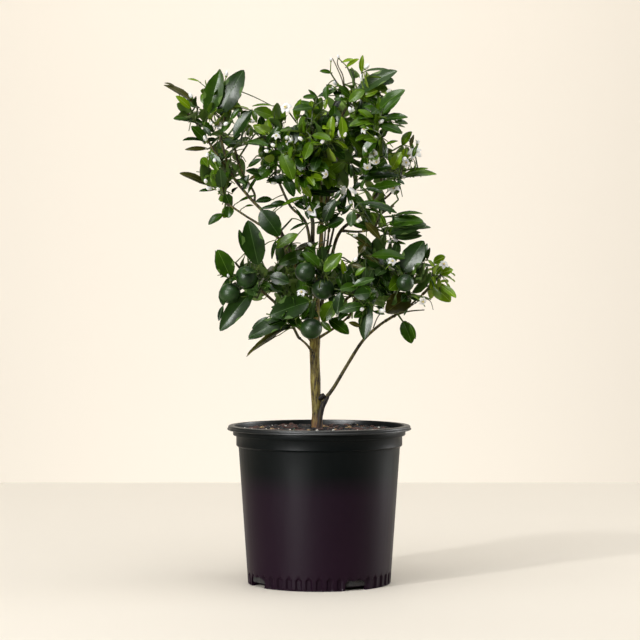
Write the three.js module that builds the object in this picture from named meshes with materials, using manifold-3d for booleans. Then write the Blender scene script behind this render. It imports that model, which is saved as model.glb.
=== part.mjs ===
// A young calamondin orange tree in a 10 inch nursery pot.
// Millimetres, +Z up, front towards -Y. The origin is the middle of the pot's underside.

import * as THREE from 'three';
import { mergeVertices } from 'three/addons/utils/BufferGeometryUtils.js';
import Module from 'manifold-3d';

const wasm = await Module();
wasm.setup();

// ---------------------------------------------------------------- driving sizes, mm

const GAP = 0.3;
const SHARE_MARGIN = 0.45;
const UP = new THREE.Vector3(0, 0, 1);
const TOWARDS_FRONT = new THREE.Vector3(0, -1, 0);
const GOLDEN_TURN = Math.PI * (3 - Math.sqrt(5));

const POT = {
  height: 218,
  rimRadius: 127,
  lipRadius: 3.2,
  collarRadius: 119,
  collarFoot: 204,
  neckRadius: 114.6,
  neckFoot: 190,
  bodyTopRadius: 111.4,
  footRadius: 98.6,
  footRing: 3,
  ringInner: 93,
  padRadius: 62,
  wall: 2,
  floor: 2.5,
  sides: 32,
};

const DRAIN = { count: 4, first: 30, width: 33, height: 13.5, inner: 86 };
const SOIL = { edge: 209.5, middle: 213 };

const TRUNK = {
  points: [
    [-2.4, 0, SOIL.middle - 5], [-3.6, -1, 236], [-5.2, -1, 279], [-6.2, 0, 335],
    [-3, 2, 400], [2.5, 3, 470], [3, 2, 532],
  ],
  radii: [8.4, 6.4, 6.0, 6.6, 4.3, 3.0, 2.3],
  rings: 15,
  sides: 8,
};

// Each bough: the limb that it leaves, how far along that limb (1 is its tip), the radius of its
// foot and tip, and the points that it passes, the last one its tip.
const BOUGHS = {
  left: ['trunk', 0.52, 3.8, 3.0, [-17, -5, 385], [-33, -9, 440], [-48, -10, 474]],
  left_top: ['left', 1, 3.0, 2.1, [-60, -12, 496], [-79, -14, 514], [-100, -14, 536], [-121, -14, 565],
    [-134, -18, 608]],
  left_tip: ['left_top', 0.78, 2.0, 1.7, [-140, -22, 590], [-156, -22, 614]],
  left_side: ['left', 0.9, 2.2, 1.7, [-57, -18, 476], [-79, -20, 492], [-103, -19, 507],
    [-122, -16, 520]],
  inner_low: ['left', 0.72, 2.0, 1.6, [-34, -22, 448], [-42, -30, 454]],
  inner_left: ['trunk', 0.63, 2.8, 2.0, [-10, -9, 440], [-18, -14, 495], [-40, -18, 520],
    [-58, -22, 558]],
  top: ['trunk', 0.9, 2.2, 2.0, [14, 14, 535], [25, 16, 590], [32, 8, 642]],
  right_top: ['trunk', 0.56, 3.2, 2.2, [7, 6, 400], [18, 2, 455], [30, 0, 486], [56, -6, 508],
    [84, -10, 546], [80, -22, 574]],
  right_tip: ['right_top', 0.72, 2.0, 1.6, [90, 4, 530], [106, 8, 546]],
  right_mid: ['right_top', 0.5, 2.0, 1.6, [52, -18, 484], [70, -26, 486]],
  right_low: ['trunk', 0.19, 3.4, 2.1, [16, -2, 264], [35, -6, 295], [58, -12, 332], [80, -18, 354],
    [100, -24, 368]],
  far_right: ['right_low', 0.9, 1.9, 1.5, [112, -14, 374], [128, -8, 386], [142, -4, 398]],
  centre: ['trunk', 1, 2.2, 1.9, [3, 1.6, 539], [2, -5, 551], [-1, -16, 564]],
  middle: ['trunk', 0.72, 2.0, 1.6, [10, -8, 462], [13, -18, 484]],
  front_right: ['trunk', 0.5, 2.4, 1.8, [10, -14, 345], [26, -28, 356], [38, -38, 366]],
  low_middle: ['trunk', 0.6, 2.2, 1.8, [-5, -14, 384], [-3, -28, 394]],
  low_left: ['trunk', 0.485, 2.6, 2.0, [-22, -8, 346], [-42, -20, 366], [-58, -28, 384]],
  low_front: ['trunk', 0.44, 2.2, 1.8, [-16, -18, 328], [-26, -34, 338]],
  back_low_left: ['trunk', 0.47, 2.6, 2.0, [-18, 18, 345], [-34, 42, 366], [-44, 58, 380]],
  back_low_right: ['trunk', 0.53, 2.6, 2.0, [10, 22, 364], [28, 46, 382], [42, 62, 394]],
  back_top: ['trunk', 0.82, 2.4, 1.8, [4, 18, 500], [10, 34, 530], [14, 46, 552]],
  back_left: ['left_top', 0.5, 2.0, 1.6, [-90, 10, 538], [-104, 32, 562], [-112, 46, 580]],
  back_right: ['right_top', 0.6, 2.0, 1.6, [58, 18, 514], [74, 40, 528], [84, 56, 540]],
};
const BOUGH_SPARE_RINGS = 2;
const BOUGH_SIDES = 5;

// Each mass of foliage is named after the bough that carries it. heart and reach are the middle and
// the half-widths of its space. shoots counts its spread shoots, and leaf is its usual leaf length.
const MASSES = {
  left_tip: { heart: [-172, -14, 638], reach: [28, 38, 36], shoots: 3, leaf: 42 },
  left_top: { heart: [-128, -24, 652], reach: [36, 46, 48], shoots: 3, leaf: 46 },
  left_side: { heart: [-138, -12, 558], reach: [34, 44, 42], shoots: 4, leaf: 40 },
  inner_low: { heart: [-48, -30, 478], reach: [34, 38, 38], shoots: 3, leaf: 42 },
  inner_left: { heart: [-60, -22, 598], reach: [40, 46, 54], shoots: 6, leaf: 44 },
  top: { heart: [54, -4, 677], reach: [50, 48, 37], shoots: 4, leaf: 44 },
  centre: { heart: [-8, -48, 598], reach: [44, 50, 68], shoots: 7, leaf: 48 },
  right_top: { heart: [74, -34, 616], reach: [42, 50, 56], shoots: 4, leaf: 48 },
  right_tip: { heart: [118, 8, 584], reach: [30, 38, 34], shoots: 3, leaf: 38 },
  right_mid: { heart: [84, -34, 508], reach: [48, 44, 36], shoots: 4, leaf: 46 },
  right_low: { heart: [108, -36, 418], reach: [46, 48, 50], shoots: 4, leaf: 50 },
  far_right: { heart: [161, -4, 418], reach: [29, 34, 34], shoots: 2, leaf: 28 },
  middle: { heart: [6, -28, 510], reach: [36, 28, 30], shoots: 5, leaf: 38 },
  front_right: { heart: [48, -66, 394], reach: [32, 46, 48], shoots: 4, leaf: 46 },
  low_middle: { heart: [4, -48, 420], reach: [38, 46, 48], shoots: 5, leaf: 50 },
  low_left: { heart: [-96, -50, 420], reach: [50, 52, 68], shoots: 3, leaf: 54 },
  low_front: { heart: [-42, -74, 368], reach: [42, 44, 34], shoots: 3, leaf: 48 },
  back_low_left: { heart: [-54, 74, 414], reach: [54, 58, 60], shoots: 6, leaf: 56 },
  back_low_right: { heart: [62, 78, 422], reach: [58, 58, 58], shoots: 6, leaf: 54 },
  back_top: { heart: [14, 62, 602], reach: [58, 54, 72], shoots: 7, leaf: 50 },
  back_left: { heart: [-122, 58, 610], reach: [40, 42, 48], shoots: 4, leaf: 46 },
  back_right: { heart: [94, 70, 566], reach: [42, 46, 50], shoots: 5, leaf: 48 },
};

// Gaps of sky through the crown, seen from the front: [x, z, half-width, half-height].
const GAPS = [
  [-114, 464, 13, 26], [-158, 425, 20, 42], [-70, 458, 9, 24], [-44, 500, 11, 22], [36, 462, 14, 24],
  [36, 496, 12, 14], [126, 518, 30, 15], [136, 544, 22, 14], [-80, 548, 18, 12], [-98, 372, 38, 16],
  [-152, 522, 16, 20], [-198, 612, 18, 22], [20, 700, 16, 16], [-92, 668, 12, 16], [100, 611, 11, 8],
  [-95, 588, 9, 10], [54, 346, 14, 18], [-44, 330, 26, 12], [152, 592, 16, 22], [-22, 478, 12, 10],
  [122, 452, 12, 8], [-96, 528, 22, 12], [-118, 628, 10, 12], [112, 648, 14, 9], [86, 368, 14, 9],
];

// The leaves that give the front and the outline of the crown their shape, each at the end of a
// shoot of its own: [foot x, foot z, tip x, tip z, width, roll in degrees from facing the front].
const LEAVES = [
  // High on the left.
  [-164, 654, -213, 685, 19, 60], [-174, 650, -196, 668, 12, 30], [-152, 604, -175, 627, 16, 25],
  [-154, 606, -186, 607, 14, 66], [-151, 637, -134, 700, 28, 8], [-137, 637, -102, 702, 32, 14],
  [-124, 600, -84, 656, 26, 22], [-152, 629, -190, 638, 16, 60], [-150, 546, -192, 563, 16, 48],
  [-120, 521, -132, 503, 16, 12], [-130, 510, -152, 493, 13, 30], [-133, 541, -135, 569, 17, 15],
  [-102, 605, -68, 598, 14, 50], [-60, 645, -92, 656, 20, 25], [-66, 602, -55, 626, 15, 20],
  [-52, 592, -36, 552, 22, 20], [-60, 575, -86, 552, 22, 30], [-66, 556, -100, 566, 16, 45],
  [-28, 533, -62, 520, 16, 45], [-48, 560, -34, 530, 16, 20],
  // The top.
  [44, 668, 107, 701, 25, 34], [64, 690, 80, 650, 18, 158], [58, 702, 60, 727, 8, 20],
  [36, 710, 55, 721, 9, 40], [18, 703, 0, 704, 8, 30], [78, 645, 115, 676, 22, 35],
  [-6, 650, -36, 646, 14, 40],
  // The upper middle.
  [14, 600, 18, 638, 14, 20], [-30, 556, -52, 584, 24, 15], [-26, 532, 30, 541, 20, 40],
  [32, 606, 30, 637, 13, 15], [6, 494, 22, 528, 18, 20], [4, 500, -14, 524, 15, 30],
  [10, 490, 34, 500, 18, 30], [26, 506, 38, 538, 16, 25], [60, 586, 62, 560, 16, 20],
  [46, 495, 72, 487, 15, 40],
  // High on the right.
  [45, 560, 108, 574, 24, 42], [78, 633, 120, 636, 16, 45], [76, 628, 112, 616, 18, 40],
  [108, 557, 161, 565, 20, 58], [98, 566, 112, 592, 16, 20], [112, 600, 126, 620, 14, 35],
  [90, 492, 141, 498, 25, 46], [92, 480, 146, 492, 26, 38], [50, 523, 104, 509, 20, 56],
  [46, 518, 42, 484, 22, 20], [62, 538, 112, 546, 20, 50],
  // Low on the right.
  [110, 424, 141, 471, 31, 12], [128, 400, 90, 373, 31, 14], [103, 396, 72, 425, 28, 16],
  [113, 364, 126, 332, 22, 15], [153, 413, 180, 388, 24, 12], [165, 411, 187, 393, 13, 35],
  [155, 441, 173, 450, 13, 20], [165, 426, 183, 432, 13, 25], [67, 391, 60, 338, 21, 15],
  [62, 384, 26, 376, 17, 30], [66, 450, 116, 448, 22, 48], [61, 447, 98, 428, 22, 30],
  [10, 366, 40, 344, 20, 30], [30, 404, 24, 372, 17, 20],
  // Low on the left.
  [-82, 516, -54, 477, 30, 10], [-26, 482, -58, 462, 16, 30], [-10, 466, -46, 452, 20, 30],
  [-80, 432, -95, 498, 32, 0], [-118, 417, -137, 459, 27, 10], [-84, 410, -134, 350, 27, 12],
  [-76, 426, -34, 413, 27, 12], [-8, 391, -66, 371, 31, 12], [-38, 367, -95, 341, 24, 30],
  [-24, 361, -99, 316, 18, 66],
];

// The green fruit and the open blossom on the front of the crown: [x, z, width].
const FRUIT = [
  [-98, 422, 30], [-120, 400, 29], [-19, 429, 28], [5, 406, 31], [-11, 353, 30], [116, 414, 24],
];
const BLOSSOM = [
  [-45, 650, 16], [-38, 538, 22], [-10, 512, 24], [72, 588, 16],
  [131, 592, 20], [102, 542, 17], [46, 540, 16], [34, 540, 14],
];

const BLOSSOM_FORM = { cup: 1.5, calyx: 3.5, notch: 0.2 };

// Twigs: the radii at foot and tip, the straight start of a stem, how far its end runs past the
// heart and turns up, the room kept to any limb, the steps in which room is looked for, the length
// from which a shoot bends, and how much it then rises.
const TWIG = {
  stem: [2.1, 1.5], shoot: [1.5, 1.1], spur: [1.1, 1.0], sides: 3,
  lead: 5, beyond: 0.5, lift: 0.8, clear: 1.2, sample: 4, straight: 60, rise: 0.1,
};

// Leaves: large ones have two corners a side. sunk is how deep a foot sits in the end of its twig.
const LEAF = {
  thickness: 1.1, ratio: 0.52, arch: 0.07, large: 50, sunk: 3, pitch: 11,
  clear: 5, apart: 5.5, nearFoot: 3, reach: 1.2,
};

// How the leaves of the outline are hung, how the other shoots spread about the heart, and how
// leaves stand along a shoot.
const PLACED = {
  depth: 0.75, forward: 10, lowest: 0.3, low: 30,
  sizes: [1, 0.9, 0.8, 0.7], shifts: [0, 10, -10, 20, -20, 30, -30],
};
const SPREAD = { highest: 0.96, over: 0.52, outward: 0.3, stray: 1.2, sizes: [0.74, 0.6, 0.45] };
const SHOOT_LEAVES = {
  from: 0.25, over: 0.75, lean: 0.95, tipLean: 0.25, outward: 0.25,
  sizes: [0.85, 1.3], shrink: 0.06, turnOn: 1.3, attempts: 6,
};

// ---------------------------------------------------------------- plain helpers

const vec = (xyz) => new THREE.Vector3(...xyz);
const mix = (a, b, share) => a + (b - a) * share;

// A steady number from 0 up to 1 for each row of whole numbers.
function draw(...keys) {
  let h = 0x811c9dc5;
  for (const key of keys) {
    h = Math.imul(h ^ key, 0x01000193);
    h = Math.imul(h ^ (h >>> 15), 0x2c1b3c6d);
    h ^= h >>> 13;
  }
  return (h >>> 0) / 4294967296;
}

function curveThrough(points) {
  return new THREE.CatmullRomCurve3(points, false, 'catmullrom', 0.5);
}

function along(list, share) {
  const place = share * (list.length - 1);
  const first = Math.min(Math.floor(place), list.length - 2);
  return mix(list[first], list[first + 1], place - first);
}

// The place at a share of the way along a row of points, with straight stretches between them.
function placeOn(points, share) {
  const place = Math.min(Math.max(share, 0), 1) * (points.length - 1);
  const first = Math.min(Math.floor(place), points.length - 2);
  return points[first].clone().lerp(points[first + 1], place - first);
}

function lengthOf(points) {
  return points.slice(1).reduce((sum, point, i) => sum + point.distanceTo(points[i]), 0);
}

// Any two directions square to a heading and to each other.
function across(heading) {
  const side = new THREE.Vector3().crossVectors(heading, Math.abs(heading.z) < 0.9 ? UP : TOWARDS_FRONT);
  side.normalize();
  return [side, new THREE.Vector3().crossVectors(heading, side)];
}

function solidOf(geometry) {
  geometry.deleteAttribute('normal');
  geometry.deleteAttribute('uv');
  const merged = mergeVertices(geometry, 1e-4);
  const vertProperties = Float32Array.from(merged.attributes.position.array);
  const triVerts = Uint32Array.from(merged.index.array);
  return new wasm.Manifold(new wasm.Mesh({ numProp: 3, vertProperties, triVerts }));
}

function indexed(corners, faces) {
  const geometry = new THREE.BufferGeometry();
  const places = corners.flatMap((corner) => corner.toArray());
  geometry.setAttribute('position', new THREE.Float32BufferAttribute(places, 3));
  geometry.setIndex(faces.flat());
  return geometry;
}

// The largest body of a solid, without what a cut leaves loose or fusing seals inside.
function mainBody(solid) {
  return solid.decompose().reduce((best, piece) => (piece.volume() > best.volume() ? piece : best));
}

// A closed limb with flat ends: a ring of corners at each point, carried along without a twist.
function limbGeometry(points, radii, sides) {
  const corners = [];
  const faces = [];
  let side;
  points.forEach((point, i) => {
    const heading = new THREE.Vector3()
      .subVectors(points[Math.min(i + 1, points.length - 1)], points[Math.max(i - 1, 0)])
      .normalize();
    side = side ?? across(heading)[0];
    side = side.clone().addScaledVector(heading, -side.dot(heading)).normalize();
    const other = new THREE.Vector3().crossVectors(heading, side);
    for (let k = 0; k < sides; k += 1) {
      const turn = (2 * Math.PI * k) / sides;
      corners.push(point.clone()
        .addScaledVector(side, radii[i] * Math.cos(turn))
        .addScaledVector(other, radii[i] * Math.sin(turn)));
    }
  });
  const last = (points.length - 1) * sides;
  for (let start = 0; start < last; start += sides) {
    for (let k = 0; k < sides; k += 1) {
      const next = (k + 1) % sides;
      faces.push([start + k, start + next, start + sides + next]);
      faces.push([start + k, start + sides + next, start + sides + k]);
    }
  }
  for (let k = 1; k < sides - 1; k += 1) {
    faces.push([0, k + 1, k]);
    faces.push([last, last + k, last + k + 1]);
  }
  return indexed(corners, faces);
}

// ---------------------------------------------------------------- pot and soil

const innerWall = (radius) => radius - POT.wall;

function lathe(profile) {
  const points = profile.map(([r, z]) => new THREE.Vector2(r, z));
  return new THREE.LatheGeometry(points, POT.sides).rotateX(Math.PI / 2);
}

function potProfile() {
  const lip = [-90, -30, 30, 90].map((degrees) => {
    const turn = THREE.MathUtils.degToRad(degrees);
    return [
      POT.rimRadius - POT.lipRadius + POT.lipRadius * Math.cos(turn),
      POT.height - POT.lipRadius + POT.lipRadius * Math.sin(turn),
    ];
  });
  const floorTop = POT.footRing + POT.floor;
  const bevel = 2;
  return [
    [0, 0], [POT.padRadius, 0], [POT.padRadius + bevel, POT.footRing],
    [POT.ringInner - bevel, POT.footRing], [POT.ringInner, 0],
    [POT.footRadius - 1.5, 0], [POT.footRadius, 2], [POT.bodyTopRadius, POT.neckFoot - 2],
    [POT.neckRadius, POT.neckFoot], [POT.neckRadius, POT.collarFoot],
    [POT.collarRadius, POT.collarFoot + 1.2], [POT.collarRadius, lip[0][1]],
    ...lip,
    [innerWall(POT.collarRadius), lip[0][1]],
    [innerWall(POT.collarRadius), POT.collarFoot + 2.5], [innerWall(POT.neckRadius), POT.collarFoot],
    [innerWall(POT.neckRadius), POT.neckFoot + 1], [innerWall(POT.bodyTopRadius), POT.neckFoot - 2],
    [innerWall(POT.footRadius), floorTop], [0, floorTop],
  ];
}

// An arched block, its foot on the ground, that reaches from one radius out to another.
function archedBlock(width, height, inner, outer, degrees) {
  const half = width / 2;
  const corner = Math.min(half, height) * 0.45;
  const shape = new THREE.Shape();
  shape.moveTo(-half, -1);
  shape.lineTo(half, -1);
  shape.lineTo(half, height - corner);
  shape.lineTo(half - corner, height);
  shape.lineTo(-half + corner, height);
  shape.lineTo(-half, height - corner);
  return new THREE.ExtrudeGeometry(shape, { depth: outer - inner, bevelEnabled: false })
    .rotateX(Math.PI / 2)
    .translate(0, -inner, 0)
    .rotateZ(THREE.MathUtils.degToRad(degrees));
}

// The pot stands on a ring and a middle pad, and its drains take out the corner of its foot.
function makePot() {
  let pot = solidOf(lathe(potProfile()));
  const drainStep = 360 / DRAIN.count;
  for (let i = 0; i < DRAIN.count; i += 1) {
    const block = archedBlock(DRAIN.width, DRAIN.height, DRAIN.inner, POT.footRadius + 6,
      DRAIN.first + i * drainStep);
    pot = pot.subtract(solidOf(block));
  }
  return pot;
}

function makeSoil() {
  const profile = [
    [0, POT.footRing + POT.floor + GAP],
    [innerWall(POT.footRadius) - GAP, POT.footRing + POT.floor + GAP],
    [innerWall(POT.bodyTopRadius) - GAP, POT.neckFoot - 2 + GAP],
    [innerWall(POT.neckRadius) - GAP, POT.neckFoot + 1 + GAP],
    [innerWall(POT.neckRadius) - GAP, POT.collarFoot + GAP],
    [innerWall(POT.collarRadius) - GAP, POT.collarFoot + 2.5 + GAP],
    [innerWall(POT.collarRadius) - GAP, SOIL.edge],
    [POT.neckRadius * 0.7, mix(SOIL.edge, SOIL.middle, 0.8)],
    [0, SOIL.middle],
  ];
  return solidOf(lathe(profile));
}

// ---------------------------------------------------------------- trunk and boughs

// Every limb keeps its curve, its radii and its solid.
const limbs = {};

function addLimb(name, points, radii, rings, sides) {
  const curve = curveThrough(points);
  const shares = Array.from({ length: rings + 1 }, (_, i) => i / rings);
  const line = shares.map((share) => curve.getPoint(share));
  const widths = shares.map((share) => along(radii, share));
  const widened = widths.map((width) => width + GAP);
  const heading = new THREE.Vector3().subVectors(line[rings], line[rings - 1]).normalize();
  limbs[name] = {
    curve, line, widths, heading,
    tip: line[rings],
    solid: solidOf(limbGeometry(line, widths, sides)),
    widened: () => solidOf(limbGeometry(line, widened, sides)),
  };
  return limbs[name];
}

function makeLimbs() {
  const trunk = addLimb('trunk', TRUNK.points.map(vec), TRUNK.radii, TRUNK.rings, TRUNK.sides);
  const groundDepth = 20;
  const ground = new THREE.BoxGeometry(40, 40, groundDepth)
    .translate(0, 0, SOIL.middle + GAP - groundDepth / 2);
  trunk.solid = trunk.solid.subtract(solidOf(ground));
  for (const [key, [parentName, share, footRadius, tipRadius, ...passed]] of Object.entries(BOUGHS)) {
    const parent = limbs[parentName];
    const atTip = share === 1;
    const foot = atTip
      ? parent.tip.clone().addScaledVector(parent.heading, GAP)
      : parent.curve.getPoint(share);
    const points = [foot, ...passed.map(vec)];
    const bough = addLimb(key, points, [footRadius, tipRadius], passed.length + BOUGH_SPARE_RINGS,
      BOUGH_SIDES);
    if (!atTip) {
      bough.solid = mainBody(bough.solid.subtract(parent.widened()));
    }
  }
}

// ---------------------------------------------------------------- each mass keeps to its own space

const meanReach = (mass) => (mass.reach[0] + mass.reach[1] + mass.reach[2]) / 3;

const hearts = Object.entries(MASSES).map(([key, mass]) => ({
  key, heart: vec(mass.heart), weight: meanReach(mass) ** 2,
}));

// The space between neighbours is shared out by flat faces, and each mass keeps a little back from
// them. A solid whose corners all lie in one mass's share lies there whole.
function inShare(key, point, room = 0) {
  const own = hearts.find((other) => other.key === key);
  const ownPower = point.distanceToSquared(own.heart) - own.weight;
  return hearts.every((other) => {
    if (other.key === key) return true;
    const power = point.distanceToSquared(other.heart) - other.weight;
    return power - ownPower > 2 * (SHARE_MARGIN + room) * own.heart.distanceTo(other.heart);
  });
}

function inReach(mass, point, stretch) {
  const [x, y, z] = point.toArray().map((value, i) => (value - mass.heart[i]) / mass.reach[i]);
  return x * x + y * y + z * z < stretch * stretch;
}

// The place on the front of the crown at x and z, and the mass that holds it.
function frontAt(x, z) {
  let found = null;
  for (const [key, mass] of Object.entries(MASSES)) {
    const [heartX, heartY, heartZ] = mass.heart;
    const inside = 1 - ((x - heartX) / mass.reach[0]) ** 2 - ((z - heartZ) / mass.reach[2]) ** 2;
    const depth = heartY - PLACED.depth * mass.reach[1] * Math.sqrt(Math.max(0, inside));
    const point = new THREE.Vector3(x, depth, z);
    if (inShare(key, point) && (!found || depth < found.point.y)) found = { key, point };
  }
  return found;
}

function limbsNear(mass) {
  const heart = vec(mass.heart);
  const far = Math.max(...mass.reach) * 2;
  const near = [];
  for (const [name, limb] of Object.entries(limbs)) {
    for (let i = 0; i < limb.line.length - 1; i += 1) {
      if (limb.line[i].distanceTo(heart) < far || limb.line[i + 1].distanceTo(heart) < far) {
        near.push({ name, line: new THREE.Line3(limb.line[i], limb.line[i + 1]), radius: limb.widths[i] });
      }
    }
  }
  return near;
}

function clearOf(near, point, room, except) {
  const closest = new THREE.Vector3();
  return near.every(({ name, line, radius }) => {
    if (name === except) return true;
    line.closestPointToPoint(point, true, closest);
    return closest.distanceTo(point) > radius + room;
  });
}

// ---------------------------------------------------------------- leaf, fruit and blossom

// A leaf lies from foot to tip, faces along face and arches over its length.
function leafShape(foot, tip, width, face) {
  const length = foot.distanceTo(tip);
  const axis = new THREE.Vector3().subVectors(tip, foot).normalize();
  const up = face.clone().addScaledVector(axis, -face.dot(axis)).normalize();
  const side = new THREE.Vector3().crossVectors(axis, up);
  return { foot, tip, axis, up, side, length, width };
}

function leafPoint(leaf, share, sideways) {
  const rise = 2 * Math.min(share, 1 - share) * LEAF.arch * leaf.length;
  return leaf.foot.clone()
    .addScaledVector(leaf.axis, share * leaf.length)
    .addScaledVector(leaf.side, sideways)
    .addScaledVector(leaf.up, rise);
}

// Large leaves have two corners a side, small ones a single corner.
const leafCorners = (leaf) => (leaf.length >= LEAF.large ? [[0.34, 0.47], [0.68, 0.4]] : [[0.5, 0.5]]);

function leafOutline(leaf) {
  const right = leafCorners(leaf).map(([share, half]) => leafPoint(leaf, share, half * leaf.width));
  const left = leafCorners(leaf).map(([share, half]) => leafPoint(leaf, share, -half * leaf.width));
  return [...right, leaf.tip, ...left.reverse()];
}

// Places all over a leaf, from its foot to its tip.
function leafSamples(leaf) {
  const samples = [0.12, 0.3, 0.5, 0.7, 0.85]
    .flatMap((share) => [-0.45, 0, 0.45].map((aside) => leafPoint(leaf, share, aside * leaf.width)));
  return [...samples, leaf.tip];
}

// The underside is folded across, and the upper side rises to one ridge point.
function leafSolid(leaf) {
  const outline = [leaf.foot, ...leafOutline(leaf)];
  const ridge = leafPoint(leaf, 0.5, 0).addScaledVector(leaf.up, LEAF.thickness);
  const faces = outline.map((_, i) => [i, (i + 1) % outline.length, outline.length]);
  for (let right = 1; right < outline.length / 2; right += 1) {
    const left = outline.length - right;
    faces.push([right - 1, left, right], [right, left, left - 1]);
  }
  return solidOf(indexed([...outline, ridge], faces));
}

// The upper side of a leaf that faces the front, rolled about its own length.
function rolledFace(heading, roll) {
  const axis = heading.clone().normalize();
  const facing = TOWARDS_FRONT.clone().addScaledVector(axis, -TOWARDS_FRONT.dot(axis)).normalize();
  const aside = new THREE.Vector3().crossVectors(axis, facing);
  const turn = THREE.MathUtils.degToRad(roll) * (aside.z < 0 ? -1 : 1);
  return facing.multiplyScalar(Math.cos(turn)).addScaledVector(aside, Math.sin(turn));
}

function fruitSolid(centre, width) {
  return solidOf(new THREE.IcosahedronGeometry(width / 2, 1).translate(...centre.toArray()));
}

// An open blossom is a five-pointed star on a short calyx.
function blossomSolid(centre, width, foot) {
  const heading = new THREE.Vector3().subVectors(centre, foot).normalize();
  const [side, other] = across(heading);
  const corners = [
    centre.clone().addScaledVector(heading, BLOSSOM_FORM.cup),
    centre.clone().addScaledVector(heading, -BLOSSOM_FORM.calyx),
  ];
  const faces = [];
  for (let k = 0; k < 10; k += 1) {
    const turn = (2 * Math.PI * k) / 10;
    const radius = width * (k % 2 === 1 ? BLOSSOM_FORM.notch : 0.5);
    corners.push(centre.clone()
      .addScaledVector(side, radius * Math.cos(turn))
      .addScaledVector(other, radius * Math.sin(turn)));
    const here = 2 + k;
    const next = 2 + ((k + 1) % 10);
    faces.push([here, next, 0], [next, here, 1]);
  }
  return solidOf(indexed(corners, faces));
}

// ---------------------------------------------------------------- the rule that a mass grows by

// A mass while it grows: its twigs so far, the solids to be fused and the places its leaves fill.
function startMass(key, seed) {
  const mass = MASSES[key];
  return {
    key, mass, seed,
    limb: limbs[key],
    near: limbsNear(mass),
    heart: vec(mass.heart),
    reach: vec(mass.reach),
    stem: [], shoots: [], twigs: [], solids: [], leafPoints: [],
  };
}

function addTwig(growth, points, radii) {
  const widths = points.map((_, i) => mix(radii[0], radii[1], i / (points.length - 1)));
  growth.solids.push(solidOf(limbGeometry(points, widths, TWIG.sides)));
  for (let i = 0; i < points.length - 1; i += 1) {
    growth.twigs.push(new THREE.Line3(points[i], points[i + 1]));
  }
}

function addShoot(growth, points) {
  addTwig(growth, points, TWIG.shoot);
  growth.shoots.push(points);
}

function shootFits(growth, points, except) {
  const room = TWIG.shoot[0] + TWIG.clear;
  for (let i = 0; i < points.length - 1; i += 1) {
    const steps = Math.ceil(points[i].distanceTo(points[i + 1]) / TWIG.sample);
    for (let k = 0; k <= steps; k += 1) {
      const point = points[i].clone().lerp(points[i + 1], k / steps);
      if (!inShare(growth.key, point) || !clearOf(growth.near, point, room, except)) return false;
    }
  }
  return true;
}

function leafFits(growth, leaf) {
  const inner = leafSamples(leaf);
  return [leaf.foot, ...leafOutline(leaf), ...inner].every((point) => inShare(growth.key, point))
    && inner.every((point) => clearOf(growth.near, point, LEAF.clear));
}

// Whether a point lies outside every gap that the sky shows through.
function clearOfGaps(point) {
  return GAPS.every(([x, z, wide, tall]) => ((point.x - x) / wide) ** 2 + ((point.z - z) / tall) ** 2 > 1);
}

// Whether a leaf keeps to the reach of its mass, out of the gaps and clear of the leaves before it.
function leafIsFree(growth, leaf) {
  return inReach(growth.mass, leaf.tip, LEAF.reach) && leafSamples(leaf).slice(LEAF.nearFoot)
    .every((point) => clearOfGaps(point)
      && growth.leafPoints.every((other) => other.distanceTo(point) >= LEAF.apart));
}

function addLeaf(growth, leaf) {
  growth.solids.push(leafSolid(leaf));
  growth.leafPoints.push(...leafSamples(leaf).slice(LEAF.nearFoot));
}

// The shortest way from a twig to a point that is clear of every limb.
function spurTo(growth, point) {
  const starts = growth.twigs
    .map((twig) => twig.closestPointToPoint(point, true, new THREE.Vector3()))
    .sort((a, b) => a.distanceTo(point) - b.distanceTo(point));
  const start = starts.find((tried) => shootFits(growth, [tried, point], null));
  return start && [start, point];
}

// The stem leaves its limb straight, bends through the heart and ends above and outside it.
function growStem(growth) {
  const { limb, heart, reach } = growth;
  const foot = limb.tip.clone().addScaledVector(limb.heading, GAP);
  const lead = foot.clone().addScaledVector(limb.heading, TWIG.lead);
  growth.outward = new THREE.Vector3(heart.x, heart.y, 0).normalize()
    .addScaledVector(UP, TWIG.lift)
    .normalize();
  const end = heart.clone().add(growth.outward.clone().multiply(reach).multiplyScalar(TWIG.beyond));
  const curve = curveThrough([foot, lead, heart, end]);
  growth.stem = [foot, lead, curve.getPoint(1 / 2), heart, end];
  addTwig(growth, growth.stem, TWIG.stem);
}

// The place on the stem that a shoot to a point leaves from, sooner low down than high up.
function nearestOnStem(growth, point) {
  const shares = Array.from({ length: 15 }, (_, i) => PLACED.lowest + 0.05 * i);
  const away = (share) => placeOn(growth.stem, share).distanceTo(point) + PLACED.low * share;
  return placeOn(growth.stem, shares.reduce((best, share) => (away(share) < away(best) ? share : best)));
}

// A long shoot rises a little on its way, and a short one is straight.
function shootTo(start, end) {
  const length = start.distanceTo(end);
  const middle = start.clone().lerp(end, 0.5).addScaledVector(UP, TWIG.rise * length);
  return length > TWIG.straight ? [start, middle, end] : [start, end];
}

// One leaf of the outline on a shoot of its own. Where it meets a limb or a neighbour's space it
// goes further forward or back, or is drawn a little smaller.
function placeLeaf(growth, [footX, footZ, tipX, tipZ, width, roll], middle) {
  for (const size of PLACED.sizes) {
    const half = new THREE.Vector3(tipX - footX, -PLACED.forward, tipZ - footZ).multiplyScalar(size / 2);
    for (const shift of PLACED.shifts) {
      const centre = middle.clone().addScaledVector(TOWARDS_FRONT, shift);
      const foot = centre.clone().sub(half);
      const leaf = leafShape(foot, centre.add(half), width * size, rolledFace(half, roll));
      const end = foot.clone().addScaledVector(leaf.axis, LEAF.sunk);
      const points = shootTo(nearestOnStem(growth, foot), end);
      if (shootFits(growth, points, growth.key) && leafFits(growth, leaf)) {
        addShoot(growth, points);
        addLeaf(growth, leaf);
        return;
      }
    }
  }
}

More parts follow.
